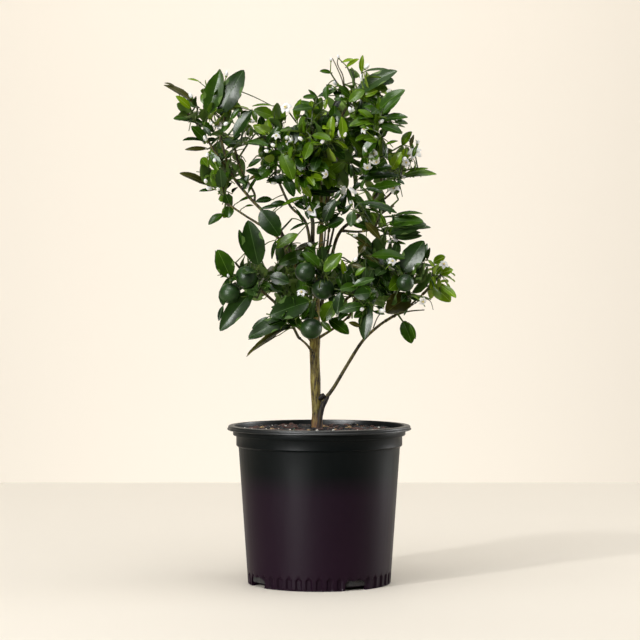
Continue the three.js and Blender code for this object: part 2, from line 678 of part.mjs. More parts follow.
function placeLeaves(growth) {
  for (const row of LEAVES) {
    const front = frontAt((row[0] + row[2]) / 2, (row[1] + row[3]) / 2);
    if (front?.key === growth.key) placeLeaf(growth, row, front.point);
  }
}

// The other shoots, spread evenly about the heart.
function growShoots(growth) {
  const { mass, seed, stem, heart, reach } = growth;
  for (let i = 0; i < mass.shoots; i += 1) {
    const level = 1 - (2 * (i + 0.5)) / mass.shoots;
    const flat = Math.sqrt(1 - level * level);
    const turn = i * GOLDEN_TURN + SPREAD.stray * draw(seed, i, 1);
    const spread = new THREE.Vector3(flat * Math.cos(turn), flat * Math.sin(turn), level)
      .addScaledVector(growth.outward, SPREAD.outward)
      .normalize();
    const start = placeOn(stem, SPREAD.highest - (SPREAD.over * (i + 0.5)) / mass.shoots);
    const points = SPREAD.sizes
      .map((size) => heart.clone().add(spread.clone().multiply(reach).multiplyScalar(size)))
      .map((end) => shootTo(start, end))
      .find((tried) => start.distanceTo(tried.at(-1)) > LEAF.pitch && shootFits(growth, tried, null));
    if (points) addShoot(growth, points);
  }
}

// Fruit and blossom hang from spurs, as far forward as there is room for them.
function hangOne(growth, [x, z, width], raised, solidFor) {
  const front = frontAt(x, z);
  if (front?.key !== growth.key) return;
  for (const shift of PLACED.shifts) {
    const centre = front.point.clone().addScaledVector(TOWARDS_FRONT, shift);
    const spur = spurTo(growth, centre.clone().addScaledVector(UP, raised * width));
    if (spur && inShare(growth.key, centre, width / 2) && clearOf(growth.near, centre, width / 2 + GAP)) {
      addTwig(growth, spur, TWIG.spur);
      growth.solids.push(solidFor(centre, width, spur[0]));
      growth.leafPoints.push(centre);
      return;
    }
  }
}

function hangFruit(growth) {
  FRUIT.forEach((row) => hangOne(growth, row, 0.25, fruitSolid));
  BLOSSOM.forEach((row) => hangOne(growth, row, 0, blossomSolid));
}

// One try for the leaf at a station of a shoot. Each try turns it on and makes it smaller.
function stationLeaf(growth, points, shootIndex, station, stations, attempt) {
  const share = mix(SHOOT_LEAVES.from, 1, station / stations);
  const base = placeOn(points, share);
  const heading = placeOn(points, share + 0.05).sub(placeOn(points, share - 0.05)).normalize();
  const [side, other] = across(heading);
  const away = base.clone().setZ(0).normalize();
  const atTip = station === stations;
  const turn = station * GOLDEN_TURN + attempt * SHOOT_LEAVES.turnOn
    + 2 * Math.PI * draw(growth.seed, shootIndex, 3);
  const lean = atTip && attempt === 0 ? SHOOT_LEAVES.tipLean : SHOOT_LEAVES.lean;
  const axis = heading.clone().multiplyScalar(Math.cos(lean))
    .addScaledVector(side, Math.sin(lean) * Math.cos(turn))
    .addScaledVector(other, Math.sin(lean) * Math.sin(turn))
    .addScaledVector(away, SHOOT_LEAVES.outward)
    .normalize();
  const length = growth.mass.leaf * mix(...SHOOT_LEAVES.sizes, draw(growth.seed, shootIndex, station, 4))
    * (1 - SHOOT_LEAVES.shrink * attempt);
  const face = heading.clone().multiplyScalar(0.4)
    .addScaledVector(UP, 0.6)
    .addScaledVector(away, 0.7)
    .addScaledVector(side, draw(growth.seed, shootIndex, station, 5) - 0.5);
  const root = base.addScaledVector(heading, atTip ? -LEAF.sunk : 0);
  return leafShape(root, root.clone().addScaledVector(axis, length), length * LEAF.ratio, face);
}

// Leaves alternate along a shoot, each a golden turn on from the last.
function growLeaves(growth, points, shootIndex) {
  const stations = Math.max(1, Math.round((SHOOT_LEAVES.over * lengthOf(points)) / LEAF.pitch));
  for (let station = 0; station <= stations; station += 1) {
    for (let attempt = 0; attempt < SHOOT_LEAVES.attempts; attempt += 1) {
      const leaf = stationLeaf(growth, points, shootIndex, station, stations, attempt);
      if (leafFits(growth, leaf) && leafIsFree(growth, leaf)) {
        addLeaf(growth, leaf);
        break;
      }
    }
  }
}

function growMass(key, seed) {
  const growth = startMass(key, seed);
  growStem(growth);
  placeLeaves(growth);
  growShoots(growth);
  hangFruit(growth);
  [...growth.shoots, growth.stem.slice(-2)].forEach((points, i) => growLeaves(growth, points, i));
  return mainBody(wasm.Manifold.union(growth.solids));
}

// ---------------------------------------------------------------- materials and assembly

const MATERIALS = {
  pot: () => new THREE.MeshStandardMaterial({ color: 0x1b1c1f, roughness: 0.42, metalness: 0 }),
  soil: () => new THREE.MeshStandardMaterial({ color: 0x2e2018, roughness: 0.95, metalness: 0 }),
  bark: () => new THREE.MeshStandardMaterial({ color: 0x5f5530, roughness: 0.8, metalness: 0 }),
  foliage: () => new THREE.MeshStandardMaterial({ color: 0x2f5222, roughness: 0.5, metalness: 0 }),
};

function meshOf(name, solid, material) {
  const { vertProperties, triVerts } = solid.getMesh();
  const geometry = new THREE.BufferGeometry();
  geometry.setAttribute('position', new THREE.Float32BufferAttribute(vertProperties, 3));
  geometry.setIndex(Array.from(triVerts));
  geometry.computeVertexNormals();
  const mesh = new THREE.Mesh(geometry, MATERIALS[material]());
  mesh.name = name;
  return mesh;
}

makeLimbs();
const tree = new THREE.Group();
tree.add(meshOf('pot', makePot(), 'pot'));
tree.add(meshOf('soil', makeSoil(), 'soil'));
tree.add(meshOf('trunk', limbs.trunk.solid, 'bark'));
for (const key of Object.keys(BOUGHS)) {
  tree.add(meshOf(`bough_${key}`, limbs[key].solid, 'bark'));
}
Object.keys(MASSES).forEach((key, seed) => {
  tree.add(meshOf(`foliage_${key}`, growMass(key, seed + 1), 'foliage'));
});

export default tree;
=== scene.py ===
"""A young calamondin orange tree in a 10 inch nursery pot, with its bark, leaves, blossom and fruit.

Lengths are millimetres in the tables and in the growing rule. They turn to metres in Mould.mesh.
The front is towards -Y, and the origin is the middle of the pot's underside.
"""

import math
from collections import namedtuple
from itertools import product

import bpy
import numpy as np
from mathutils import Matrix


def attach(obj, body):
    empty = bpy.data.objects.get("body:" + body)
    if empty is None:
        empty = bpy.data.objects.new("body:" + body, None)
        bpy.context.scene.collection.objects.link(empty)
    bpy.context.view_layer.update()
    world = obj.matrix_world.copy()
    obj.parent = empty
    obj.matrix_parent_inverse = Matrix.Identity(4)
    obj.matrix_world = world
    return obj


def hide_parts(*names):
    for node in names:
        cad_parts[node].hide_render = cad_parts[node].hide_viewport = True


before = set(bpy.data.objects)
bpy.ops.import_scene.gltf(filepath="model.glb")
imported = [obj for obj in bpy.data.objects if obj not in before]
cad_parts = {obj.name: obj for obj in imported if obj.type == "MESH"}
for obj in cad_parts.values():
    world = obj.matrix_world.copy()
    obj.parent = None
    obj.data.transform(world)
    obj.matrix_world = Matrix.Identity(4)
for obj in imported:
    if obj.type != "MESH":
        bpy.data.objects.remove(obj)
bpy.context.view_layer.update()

METRE = 1000.0
UP = np.array([0.0, 0.0, 1.0])
TOWARDS_FRONT = np.array([0.0, -1.0, 0.0])
GOLDEN_TURN = math.pi * (3 - math.sqrt(5))


# ---------------------------------------------------------------- camera

CAMERA_PLACE = (0.001, -3.19, 0.424)
CAMERA_TILT_DOWN = 1.1
SENSOR_WIDTH = 36.0
LENS = 130.1


def make_camera():
    camera = bpy.data.cameras.new("camera")
    camera.sensor_width = SENSOR_WIDTH
    camera.lens = LENS
    holder = bpy.data.objects.new("camera", camera)
    holder.location = CAMERA_PLACE
    holder.rotation_euler = (math.radians(90 - CAMERA_TILT_DOWN), 0, 0)
    bpy.context.collection.objects.link(holder)
    bpy.context.scene.camera = holder


# ---------------------------------------------------------------- the tree's sizes

POT = {
    "height": 218, "rim": 127, "lip": 3.2, "collar": 119, "collar_foot": 204, "neck": 114.6,
    "neck_foot": 190, "body_top": 111.4, "foot": 98.6, "foot_ring": 3, "ring_inner": 93, "pad": 62,
    "wall": 2, "floor": 2.5,
}
DRAIN = {"count": 4, "first": 30, "width": 33, "height": 13.5, "inner": 86, "round_off": 6}
# The side of a flute slopes in from its edge over a soft stretch, both as shares of its half-width.
FLUTE = {"count": 44, "columns": 12, "width": 7.2, "height": 16.5, "depth": 2.4, "edge": 1.15, "soft": 0.3}
SOIL = {"edge": 209.5, "middle": 213}

TRUNK_POINTS = [(-2.4, 0, 208), (-3.6, -1, 236), (-5.2, -1, 279), (-6.2, 0, 335),
                (-3, 2, 400), (2.5, 3, 470), (3, 2, 532)]
TRUNK_RADII = [8.4, 6.4, 6.0, 6.6, 4.3, 3.0, 2.3]
TRUNK_RINGS = 15

# Each bough: the limb that it leaves, how far along that limb (1 is its tip), the radius of its
# foot and tip, and the points that it passes, the last one its tip.
BOUGHS = {
    "left": ("trunk", 0.52, 3.8, 3.0, (-17, -5, 385), (-33, -9, 440), (-48, -10, 474)),
    "left_top": ("left", 1, 3.0, 2.1, (-60, -12, 496), (-79, -14, 514), (-100, -14, 536),
                 (-121, -14, 565), (-134, -18, 608)),
    "left_tip": ("left_top", 0.78, 2.0, 1.7, (-140, -22, 590), (-156, -22, 614)),
    "left_side": ("left", 0.9, 2.2, 1.7, (-57, -18, 476), (-79, -20, 492), (-103, -19, 507),
                  (-122, -16, 520)),
    "inner_low": ("left", 0.72, 2.0, 1.6, (-34, -22, 448), (-42, -30, 454)),
    "inner_left": ("trunk", 0.63, 2.8, 2.0, (-10, -9, 440), (-18, -14, 495), (-40, -18, 520),
                   (-58, -22, 558)),
    "top": ("trunk", 0.9, 2.2, 2.0, (14, 14, 535), (25, 16, 590), (32, 8, 642)),
    "right_top": ("trunk", 0.56, 3.2, 2.2, (7, 6, 400), (18, 2, 455), (30, 0, 486),
                  (56, -6, 508), (84, -10, 546), (80, -22, 574)),
    "right_tip": ("right_top", 0.72, 2.0, 1.6, (90, 4, 530), (106, 8, 546)),
    "right_mid": ("right_top", 0.5, 2.0, 1.6, (52, -18, 484), (70, -26, 486)),
    "right_low": ("trunk", 0.19, 3.4, 2.1, (16, -2, 264), (35, -6, 295), (58, -12, 332),
                  (80, -18, 354), (100, -24, 368)),
    "far_right": ("right_low", 0.9, 1.9, 1.5, (112, -14, 374), (128, -8, 386), (142, -4, 398)),
    "centre": ("trunk", 1, 2.2, 1.9, (3, 1.6, 539), (2, -5, 551), (-1, -16, 564)),
    "middle": ("trunk", 0.72, 2.0, 1.6, (10, -8, 462), (13, -18, 484)),
    "front_right": ("trunk", 0.5, 2.4, 1.8, (10, -14, 345), (26, -28, 356), (38, -38, 366)),
    "low_middle": ("trunk", 0.6, 2.2, 1.8, (-5, -14, 384), (-3, -28, 394)),
    "low_left": ("trunk", 0.485, 2.6, 2.0, (-22, -8, 346), (-42, -20, 366), (-58, -28, 384)),
    "low_front": ("trunk", 0.44, 2.2, 1.8, (-16, -18, 328), (-26, -34, 338)),
    "back_low_left": ("trunk", 0.47, 2.6, 2.0, (-18, 18, 345), (-34, 42, 366), (-44, 58, 380)),
    "back_low_right": ("trunk", 0.53, 2.6, 2.0, (10, 22, 364), (28, 46, 382), (42, 62, 394)),
    "back_top": ("trunk", 0.82, 2.4, 1.8, (4, 18, 500), (10, 34, 530), (14, 46, 552)),
    "back_left": ("left_top", 0.5, 2.0, 1.6, (-90, 10, 538), (-104, 32, 562), (-112, 46, 580)),
    "back_right": ("right_top", 0.6, 2.0, 1.6, (58, 18, 514), (74, 40, 528), (84, 56, 540)),
}
BOUGH_SPARE_RINGS = 2

# Each mass of foliage is named after the bough that carries it: the middle and half-widths of its
# space, how many spread shoots it has, its usual leaf length, how thickly the fine twigs fill it
# and the tones of its sprays.
Mass = namedtuple("Mass", "heart reach shoots leaf fill tones")
# Among the sprays' tones, the grey-green one is painted sheen.
OLD = ("dark", "dark", "mature", "mature", "grey")
MIXED = ("dark", "mature", "mature", "mid", "grey")
FRESH = ("mature", "mid", "mid", "young", "dark")
MASSES = {
    "left_tip": Mass((-172, -14, 638), (28, 38, 36), 3, 42, 0.5, MIXED),
    "left_top": Mass((-128, -24, 652), (36, 46, 48), 3, 46, 0.6, FRESH),
    "left_side": Mass((-138, -12, 558), (34, 44, 42), 4, 40, 0.8, MIXED),
    "inner_low": Mass((-48, -30, 478), (34, 38, 38), 3, 42, 0.4, MIXED),
    "inner_left": Mass((-60, -22, 598), (40, 46, 54), 6, 44, 1.1, FRESH),
    "top": Mass((54, -4, 677), (50, 48, 37), 4, 44, 0.9, FRESH),
    "centre": Mass((-8, -48, 598), (44, 50, 68), 7, 48, 1.2, FRESH),
    "right_top": Mass((74, -34, 616), (42, 50, 56), 4, 48, 1.0, MIXED),
    "right_tip": Mass((118, 8, 584), (30, 38, 34), 3, 38, 0.7, FRESH),
    "right_mid": Mass((84, -34, 508), (48, 44, 36), 4, 46, 0.6, MIXED),
    "right_low": Mass((108, -36, 418), (46, 48, 50), 4, 50, 0.6, MIXED),
    "far_right": Mass((161, -4, 418), (29, 34, 34), 2, 28, 0.5, ("flush", "flush", "young")),
    "middle": Mass((6, -28, 510), (36, 28, 30), 5, 38, 1.3, MIXED),
    "front_right": Mass((48, -66, 394), (32, 46, 48), 4, 46, 0.6, OLD),
    "low_middle": Mass((4, -48, 420), (38, 46, 48), 5, 50, 0.8, OLD),
    "low_left": Mass((-96, -50, 420), (50, 52, 68), 3, 54, 0.3, OLD),
    "low_front": Mass((-42, -74, 368), (42, 44, 34), 3, 48, 0.3, OLD),
    "back_low_left": Mass((-54, 74, 414), (54, 58, 60), 6, 56, 0.8, OLD),
    "back_low_right": Mass((62, 78, 422), (58, 58, 58), 6, 54, 0.8, OLD),
    "back_top": Mass((14, 62, 602), (58, 54, 72), 7, 50, 1.0, MIXED),
    "back_left": Mass((-122, 58, 610), (40, 42, 48), 4, 46, 0.8, MIXED),
    "back_right": Mass((94, 70, 566), (42, 46, 50), 5, 48, 0.8, MIXED),
}

# Gaps where the sky shows through from the front: x, z and half-widths.
GAPS = [
    (-114, 464, 13, 26), (-158, 425, 20, 42), (-70, 458, 9, 24), (-44, 500, 11, 22), (36, 462, 14, 24),
    (36, 496, 12, 14), (126, 518, 30, 15), (136, 544, 22, 14), (-80, 548, 18, 12), (-98, 372, 38, 16),
    (-152, 522, 16, 20), (-198, 612, 18, 22), (20, 700, 16, 16), (-92, 668, 12, 16), (100, 611, 11, 8),
    (-95, 588, 9, 10), (54, 346, 14, 18), (-44, 330, 26, 12), (152, 592, 16, 22), (-22, 478, 12, 10),
    (122, 452, 12, 8), (-96, 528, 22, 12), (-118, 628, 10, 12), (112, 648, 14, 9), (86, 368, 14, 9),
]

# The leaves that give the front and the outline of the crown their shape: foot x, foot z, tip x,
# tip z, width, roll in degrees from facing the front, and tone.
# A grey-green tone here is painted sheen on a glossy blade.
LEAVES = [
    # High on the left.
    (-164, 654, -213, 685, 19, 60, "olive"), (-174, 650, -196, 668, 12, 30, "young"),
    (-152, 604, -175, 627, 16, 25, "mature"), (-154, 606, -186, 607, 14, 66, "dark"),
    (-151, 637, -134, 700, 28, 8, "mature"), (-137, 637, -102, 702, 32, 14, "dark"),
    (-124, 600, -84, 656, 26, 22, "dark"), (-152, 629, -190, 638, 16, 60, "mature"),
    (-150, 546, -192, 563, 16, 48, "olive"), (-120, 521, -132, 503, 16, 12, "young"),
    (-130, 510, -152, 493, 13, 30, "mature"), (-133, 541, -135, 569, 17, 15, "grey"),
    (-102, 605, -68, 598, 14, 50, "mature"), (-60, 645, -92, 656, 20, 25, "mid"),
    (-66, 602, -55, 626, 15, 20, "mature"), (-52, 592, -36, 552, 22, 20, "mid"),
    (-60, 575, -86, 552, 22, 30, "mature"), (-66, 556, -100, 566, 16, 45, "dark"),
    (-28, 533, -62, 520, 16, 45, "mature"), (-48, 560, -34, 530, 16, 20, "dark"),
    # The top.
    (44, 668, 107, 701, 25, 34, "grey"), (64, 690, 80, 650, 18, 158, "mid"),
    (58, 702, 60, 727, 8, 20, "young"), (36, 710, 55, 721, 9, 40, "young"),
    (18, 703, 0, 704, 8, 30, "mature"), (78, 645, 115, 676, 22, 35, "mature"),
    (-6, 650, -36, 646, 14, 40, "mature"),
    # The upper middle.
    (14, 600, 18, 638, 14, 20, "young"), (-30, 556, -52, 584, 24, 15, "olive"),
    (-26, 532, 30, 541, 20, 40, "dark"), (32, 606, 30, 637, 13, 15, "young"),
    (6, 494, 22, 528, 18, 20, "dark"), (4, 500, -14, 524, 15, 30, "mature"),
    (10, 490, 34, 500, 18, 30, "dark"), (26, 506, 38, 538, 16, 25, "dark"),
    (60, 586, 62, 560, 16, 20, "mature"), (46, 495, 72, 487, 15, 40, "mature"),
    # High on the right.
    (45, 560, 108, 574, 24, 42, "dark"), (78, 633, 120, 636, 16, 45, "mature"),
    (76, 628, 112, 616, 18, 40, "mature"), (108, 557, 161, 565, 20, 58, "mid"),
    (98, 566, 112, 592, 16, 20, "young"), (112, 600, 126, 620, 14, 35, "mid"),
    (90, 492, 141, 498, 25, 46, "mature"), (92, 480, 146, 492, 26, 38, "grey"),
    (50, 523, 104, 509, 20, 56, "mature"), (46, 518, 42, 484, 22, 20, "grey"),
    (62, 538, 112, 546, 20, 50, "mature"),
    # Low on the right.
    (110, 424, 141, 471, 31, 12, "dark"), (128, 400, 90, 373, 31, 14, "olive"),
    (103, 396, 72, 425, 28, 16, "dark"), (113, 364, 126, 332, 22, 15, "mature"),
    (153, 413, 180, 388, 24, 12, "flush"), (165, 411, 187, 393, 13, 35, "flush"),
    (155, 441, 173, 450, 13, 20, "flush"), (165, 426, 183, 432, 13, 25, "flush"),
    (67, 391, 60, 338, 21, 15, "dark"), (62, 384, 26, 376, 17, 30, "mature"),
    (66, 450, 116, 448, 22, 48, "mature"), (61, 447, 98, 428, 22, 30, "dark"),
    (10, 366, 40, 344, 20, 30, "mature"), (30, 404, 24, 372, 17, 20, "dark"),
    # Low on the left.
    (-82, 516, -54, 477, 30, 10, "dark"), (-26, 482, -58, 462, 16, 30, "mid"),
    (-10, 466, -46, 452, 20, 30, "dark"), (-80, 432, -95, 498, 32, 0, "dark"),
    (-118, 417, -137, 459, 27, 10, "mature"), (-84, 410, -134, 350, 27, 12, "dark"),
    (-76, 426, -34, 413, 27, 12, "dark"), (-8, 391, -66, 371, 31, 12, "dark"),
    (-38, 367, -95, 341, 24, 30, "dark"), (-24, 361, -99, 316, 18, 66, "olive"),
]

# Leaves of the finer twigs that show from the front, in the same columns.
# A grey-green tone here is painted sheen on a glossy blade.
FRONT_LEAVES = [
    # High on the left, between its boughs.
    (-113, 524, -86, 533, 7, 50, "mature"), (-62, 528, -87, 525, 11, 30, "dark"),
    (-43, 524, -69, 517, 12, 35, "dark"), (-53, 517, -22, 531, 9, 45, "mid"),
    (-123, 522, -128, 535, 16, 10, "mature"), (-123, 521, -125, 503, 16, 10, "mature"),
    (-24, 537, 17, 533, 12, 45, "dark"), (-12, 496, -40, 485, 7, 50, "dark"),
    (-30, 556, -72, 552, 13, 35, "dark"), (-99, 552, -73, 566, 7, 40, "olive"),
    (-82, 563, -99, 536, 6, 30, "mature"), (-33, 517, -22, 495, 5, 30, "dark"),
    # On the right.
    (84, 471, 61, 496, 12, 20, "olive"), (90, 491, 83, 507, 6, 20, "mid"),
    (76, 494, 72, 508, 5, 20, "mid"), (47, 554, 109, 561, 16, 40, "dark"),
    (60, 542, 85, 536, 8, 40, "dark"), (37, 482, 72, 459, 7, 40, "olive"),
    (64, 469, 53, 453, 10, 10, "olive"), (88, 471, 118, 467, 7, 35, "mature"),
    (52, 522, 105, 509, 12, 40, "dark"),
    # Low in the middle.
    (-10, 454, -56, 440, 21, 25, "mature"), (2, 468, -34, 458, 12, 35, "olive"),
    (4, 427, 31, 454, 18, 15, "mid"), (4, 444, 3, 464, 14, 10, "dark"),
    (35, 417, 30, 446, 8, 20, "young"), (43, 409, 74, 420, 12, 30, "mature"),
    (70, 401, 46, 398, 20, 20, "dark"), (21, 392, 4, 362, 23, 8, "mid"),
    (56, 355, 39, 361, 8, 30, "olive"), (62, 452, 82, 442, 10, 25, "olive"),
    (41, 439, 60, 433, 8, 30, "olive"), (47, 423, 62, 435, 8, 25, "mid"),
    (-4, 394, -11, 359, 9, 35, "grey"),
    # Around the outline and in its last bare places.
    (-142, 618, -160, 632, 12, 30, "mature"), (-140, 612, -158, 606, 9, 40, "dark"),
    (-150, 598, -184, 598, 6, 60, "olive"), (-162, 688, -180, 693, 5, 50, "young"),
    (-118, 634, -134, 618, 9, 40, "dark"), (-120, 634, -108, 650, 8, 20, "mature"),
    (-100, 603, -78, 600, 7, 50, "mature"), (-98, 570, -78, 582, 9, 30, "dark"),
    (-96, 562, -112, 548, 9, 35, "mature"), (-104, 540, -96, 562, 8, 20, "dark"),
    (-104, 518, -90, 520, 5, 50, "mature"), (-72, 551, -48, 548, 7, 50, "dark"),
    (-52, 552, -40, 534, 5, 40, "mature"), (-32, 530, -20, 520, 12, 30, "dark"),
    (2, 362, 16, 349, 10, 20, "mid"), (22, 676, -2, 668, 9, 40, "dark"),
    (10, 684, 10, 662, 10, 20, "mature"), (-2, 665, -22, 665, 6, 50, "mature"),
    (10, 664, 8, 648, 7, 25, "young"), (58, 702, 98, 705, 7, 50, "grey"),
    (30, 717, 48, 720, 6, 30, "young"), (84, 640, 110, 664, 12, 30, "mature"),
    (100, 632, 120, 630, 10, 40, "mature"), (124, 598, 129, 616, 6, 20, "olive"),
    (128, 584, 133, 602, 6, 20, "mid"), (88, 600, 106, 606, 6, 40, "mid"),
    (112, 560, 150, 570, 9, 50, "mid"), (104, 556, 116, 548, 6, 30, "dark"),
    (40, 578, 43, 556, 8, 20, "dark"), (46, 566, 58, 560, 8, 40, "mature"),
    (44, 540, 58, 550, 9, 30, "dark"), (38, 546, 42, 520, 8, 20, "mature"),
    (30, 506, 44, 520, 9, 30, "dark"), (96, 474, 138, 482, 12, 30, "grey"),
    (100, 506, 140, 507, 8, 50, "mature"), (130, 488, 152, 490, 8, 40, "grey"),
    (140, 440, 147, 468, 9, 15, "dark"), (158, 446, 171, 452, 7, 30, "flush"),
    (148, 446, 156, 436, 6, 30, "young"), (74, 383, 90, 375, 7, 50, "dark"),
    (-130, 385, -136, 362, 8, 20, "dark"), (-66, 370, -90, 352, 8, 30, "dark"),
    (-52, 345, -96, 316, 10, 50, "olive"), (-100, 452, -108, 486, 10, 10, "dark"),
    (-58, 474, -64, 446, 6, 20, "dark"), (122, 360, 131, 338, 8, 15, "mature"),
    (-196, 682, -212, 688, 5, 50, "olive"), (-62, 656, -92, 656, 6, 50, "mid"),
    (104, 473, 140, 478, 10, 20, "grey"),
    (-152, 597, -184, 596, 7, 20, "olive"), (-140, 541, -164, 538, 6, 30, "dark"),
    (-114, 556, -100, 548, 6, 20, "mature"), (-36, 524, -20, 514, 8, 20, "dark"),
    (-20, 512, -14, 500, 5, 20, "dark"), (-54, 519, -80, 515, 6, 20, "dark"),
    (20, 526, 30, 540, 7, 20, "mature"), (46, 572, 56, 562, 7, 20, "dark"),
    (56, 540, 62, 556, 6, 20, "mature"), (42, 496, 58, 488, 8, 30, "dark"),
    (-4, 663, -22, 662, 8, 30, "mature"), (4, 668, 22, 676, 8, 30, "mature"),
    (-92, 652, -86, 632, 8, 20, "mid"), (-118, 634, -130, 618, 8, 20, "mature"),
    (-120, 608, -106, 616, 8, 20, "dark"), (-66, 610, -52, 618, 8, 20, "mature"),
    (-158, 626, -146, 612, 8, 20, "dark"), (146, 444, 150, 462, 6, 20, "dark"),
    (72, 376, 88, 372, 6, 20, "dark"), (-72, 344, -96, 338, 6, 20, "dark"),
]

# Smaller gaps, which only the fine twigs leave open, in the same columns as the others.
FINE_GAPS = [
    (-164, 576, 9, 11), (-164, 546, 9, 7), (-174, 614, 9, 9), (-80, 640, 8, 8), (-36, 634, 8, 6),
    (-134, 632, 8, 6), (-92, 614, 8, 5), (48, 698, 10, 9), (114, 641, 8, 6), (120, 568, 10, 8),
    (104, 526, 10, 12), (68, 533, 14, 7), (62, 478, 12, 8), (84, 498, 12, 10), (-130, 415, 8, 6),
    (-68, 396, 8, 6), (136, 408, 10, 8), (178, 445, 8, 6), (38, 388, 12, 5), (-104, 442, 8, 6),
    (-94, 584, 8, 12), (110, 608, 6, 8),
]

ALL_GAPS = GAPS + FINE_GAPS

# Thinner stems between the boughs that show from the front: the radius at the foot and at the tip,
# and the points that each passes.
FRONT_STEMS = [
    (3.2, 2.4, (-5, -2, 436), (-9, -6, 468), (-9, -9, 496), (-14, -12, 524)),
    (1.5, 1.1, (4, -2, 446), (7, -8, 470), (9, -12, 496)),
    (2.0, 1.4, (8, -2, 440), (15, -8, 468), (21, -12, 494)),
    (0.9, 0.6, (36, -8, 664), (32, -10, 690), (23, -11, 712), (18, -11, 722)),
    (0.9, 0.6, (34, -8, 668), (33, -10, 696), (25, -11, 714), (27, -11, 726)),
    (0.9, 0.7, (74, -17, 352), (80, -22, 367), (88, -26, 377)),
    (1.3, 0.8, (102, -24, 369), (122, -26, 375), (144, -24, 377)),
    (0.8, 0.5, (112, -25, 372), (128, -26, 384), (142, -25, 392), (152, -24, 389), (156, -23, 377)),
]

# The green fruit and the open blossom on the front of the crown: x, z, width.
FRUIT = [(-98, 422, 30), (-120, 400, 29), (-19, 429, 28), (5, 406, 31), (-11, 353, 30), (116, 414, 24)]
BLOSSOM = [(-45, 650, 16), (-38, 538, 22), (-10, 512, 24), (72, 588, 16),
           (131, 592, 20), (102, 542, 17), (46, 540, 16), (34, 540, 14)]
# Smaller flowers on threads of stalk, where only the living tree has them: x, z, width.
SMALL_BLOSSOM = [(61, 620, 13), (-24, 401, 13), (98, 443, 12), (170, 439, 13), (140, 389, 11),
                 (76, 578, 13), (65, 571, 13), (-58, 612, 12), (118, 578, 12), (8, 560, 12)]

# The rule's own numbers, as in the solids: the room between a limb's tip and what it carries, and how
# far each mass stays inside its own share of the crown.
GAP = 0.3
SHARE_MARGIN = 0.45
# A heading this near the upright takes its sides from the front, and a twig's heading is taken
# between places this far before and after, as shares of its length.
NEAR_UPRIGHT = 0.9
HEADING_STEP = 0.05
# The radii of each kind of twig, how a stem leaves its bough and goes beyond the heart, how far it
# leans up, the room round a shoot, the step between the places tried, and how a long shoot rises.
TWIG = {"stem": (2.1, 1.5), "shoot": (1.5, 1.1), "spur": (1.1, 1.0), "lead": 5, "beyond": 0.5,
        "lift": 0.8, "clear": 1.2, "sample": 4, "straight": 60, "rise": 0.1}
# A leaf's arch, how deep a shoot's tip stands in it, how far leaves stand apart along a shoot, from
# limbs and from each other, how many samples by its foot don't count, how far out it may reach, and
# the length from which its outline has more corners.
LEAF = {"arch": 0.07, "sunk": 3, "pitch": 11, "clear": 5, "apart": 5.5, "near_foot": 3, "reach": 1.2,
        "large": 50}
# A leaf's outline and the places on it that are tried, as shares of its length and its width.
LEAF_CORNERS = {"large": ((0.34, 0.47), (0.68, 0.4)), "small": ((0.5, 0.5),)}
LEAF_SAMPLES = {"along": (0.12, 0.3, 0.5, 0.7, 0.85), "aside": (-0.45, 0, 0.45)}
# The leaves of the front: how deep in a mass's reach they stand, how far their tips come forward,
# where on the stem their shoots start, and the sizes and shifts that are tried for each.
PLACED = {"depth": 0.75, "forward": 10, "lowest": 0.3, "low": 30, "step": 0.05, "steps": 15,
          "sizes": (1, 0.9, 0.8, 0.7), "shifts": (0, 10, -10, 20, -20, 30, -30)}
# The other shoots: where they start on the stem and over how much of it, how far they lean outward,
# how far their turns stray, and the lengths that are tried, as shares of the mass's reach.
SPREAD = {"highest": 0.96, "over": 0.52, "outward": 0.3, "stray": 1.2, "sizes": (0.74, 0.6, 0.45)}
# How leaves stand along a shoot: where they begin, over how much of it and how far apart, how far
# they lean from it, their lengths as shares of the mass's usual leaf, what each further try takes
# off, and the last keys of the draws for their turn, length, face and tone.
SHOOT_LEAVES = {"from": 0.25, "over": 0.75, "pitch": LEAF["pitch"], "fewest": 1, "chord": False,
                "lean": 0.95, "tip_lean": 0.25, "outward": 0.25, "sizes": (0.85, 1.3), "shrink": 0.06,
                "ratio": 0.52, "sunk": LEAF["sunk"], "attempts": 6, "draws": (3, 4, 5, 6)}
# The same along a finer twig, which only the living tree has.
FINE_LEAVES = {"from": 0.2, "over": 1, "pitch": 8.5, "fewest": 2, "chord": True,
               "lean": 0.9, "tip_lean": 0.3, "outward": 0.2, "sizes": (0.5, 0.85), "shrink": 0.1,
               "ratio": 0.5, "sunk": 0, "attempts": 3, "draws": (10, 11, 12, 9)}
# How far each further try for a leaf turns it on, in radians.
TURN_ON = 1.3
# How much the face of a leaf looks along its twig, up and outward, and how far it strays sideways.
FACE = {"along": 0.4, "up": 0.6, "away": 0.7, "stray": 0.5}
# Where the outer part of a mass begins, as far_out measures it.
OUTER_PART = 0.35
# How far above the middle of a fruit or a flower its spur ends, as a share of its width.
SPUR_END = {"fruit": 0.25, "blossom": 0}
# The finer twigs, off every shoot and into what the shoots leave open.
FINE = {"pitch": 12, "from": 0.2, "to": 0.97, "length": (16, 34), "lean": 0.85, "lift": 0.25, "bow": 1.5,
        "clear": 4, "leaf_clear": 2, "reach": 1.1, "apart": 3.0, "forward": (0, 6, 12, 18, 24),
        "near_foot": 6, "radii": (0.9, 0.6), "spread": 0.012, "within": (0.45, 0.95), "rise": 0.12,
        "shortest": 9, "longest": 55, "filling": 100, "tilt": 6, "sunk": 2}


# ---------------------------------------------------------------- plain helpers

def unit(vector):
    return vector / np.linalg.norm(vector)


def mix(a, b, share):
    return a + (b - a) * share


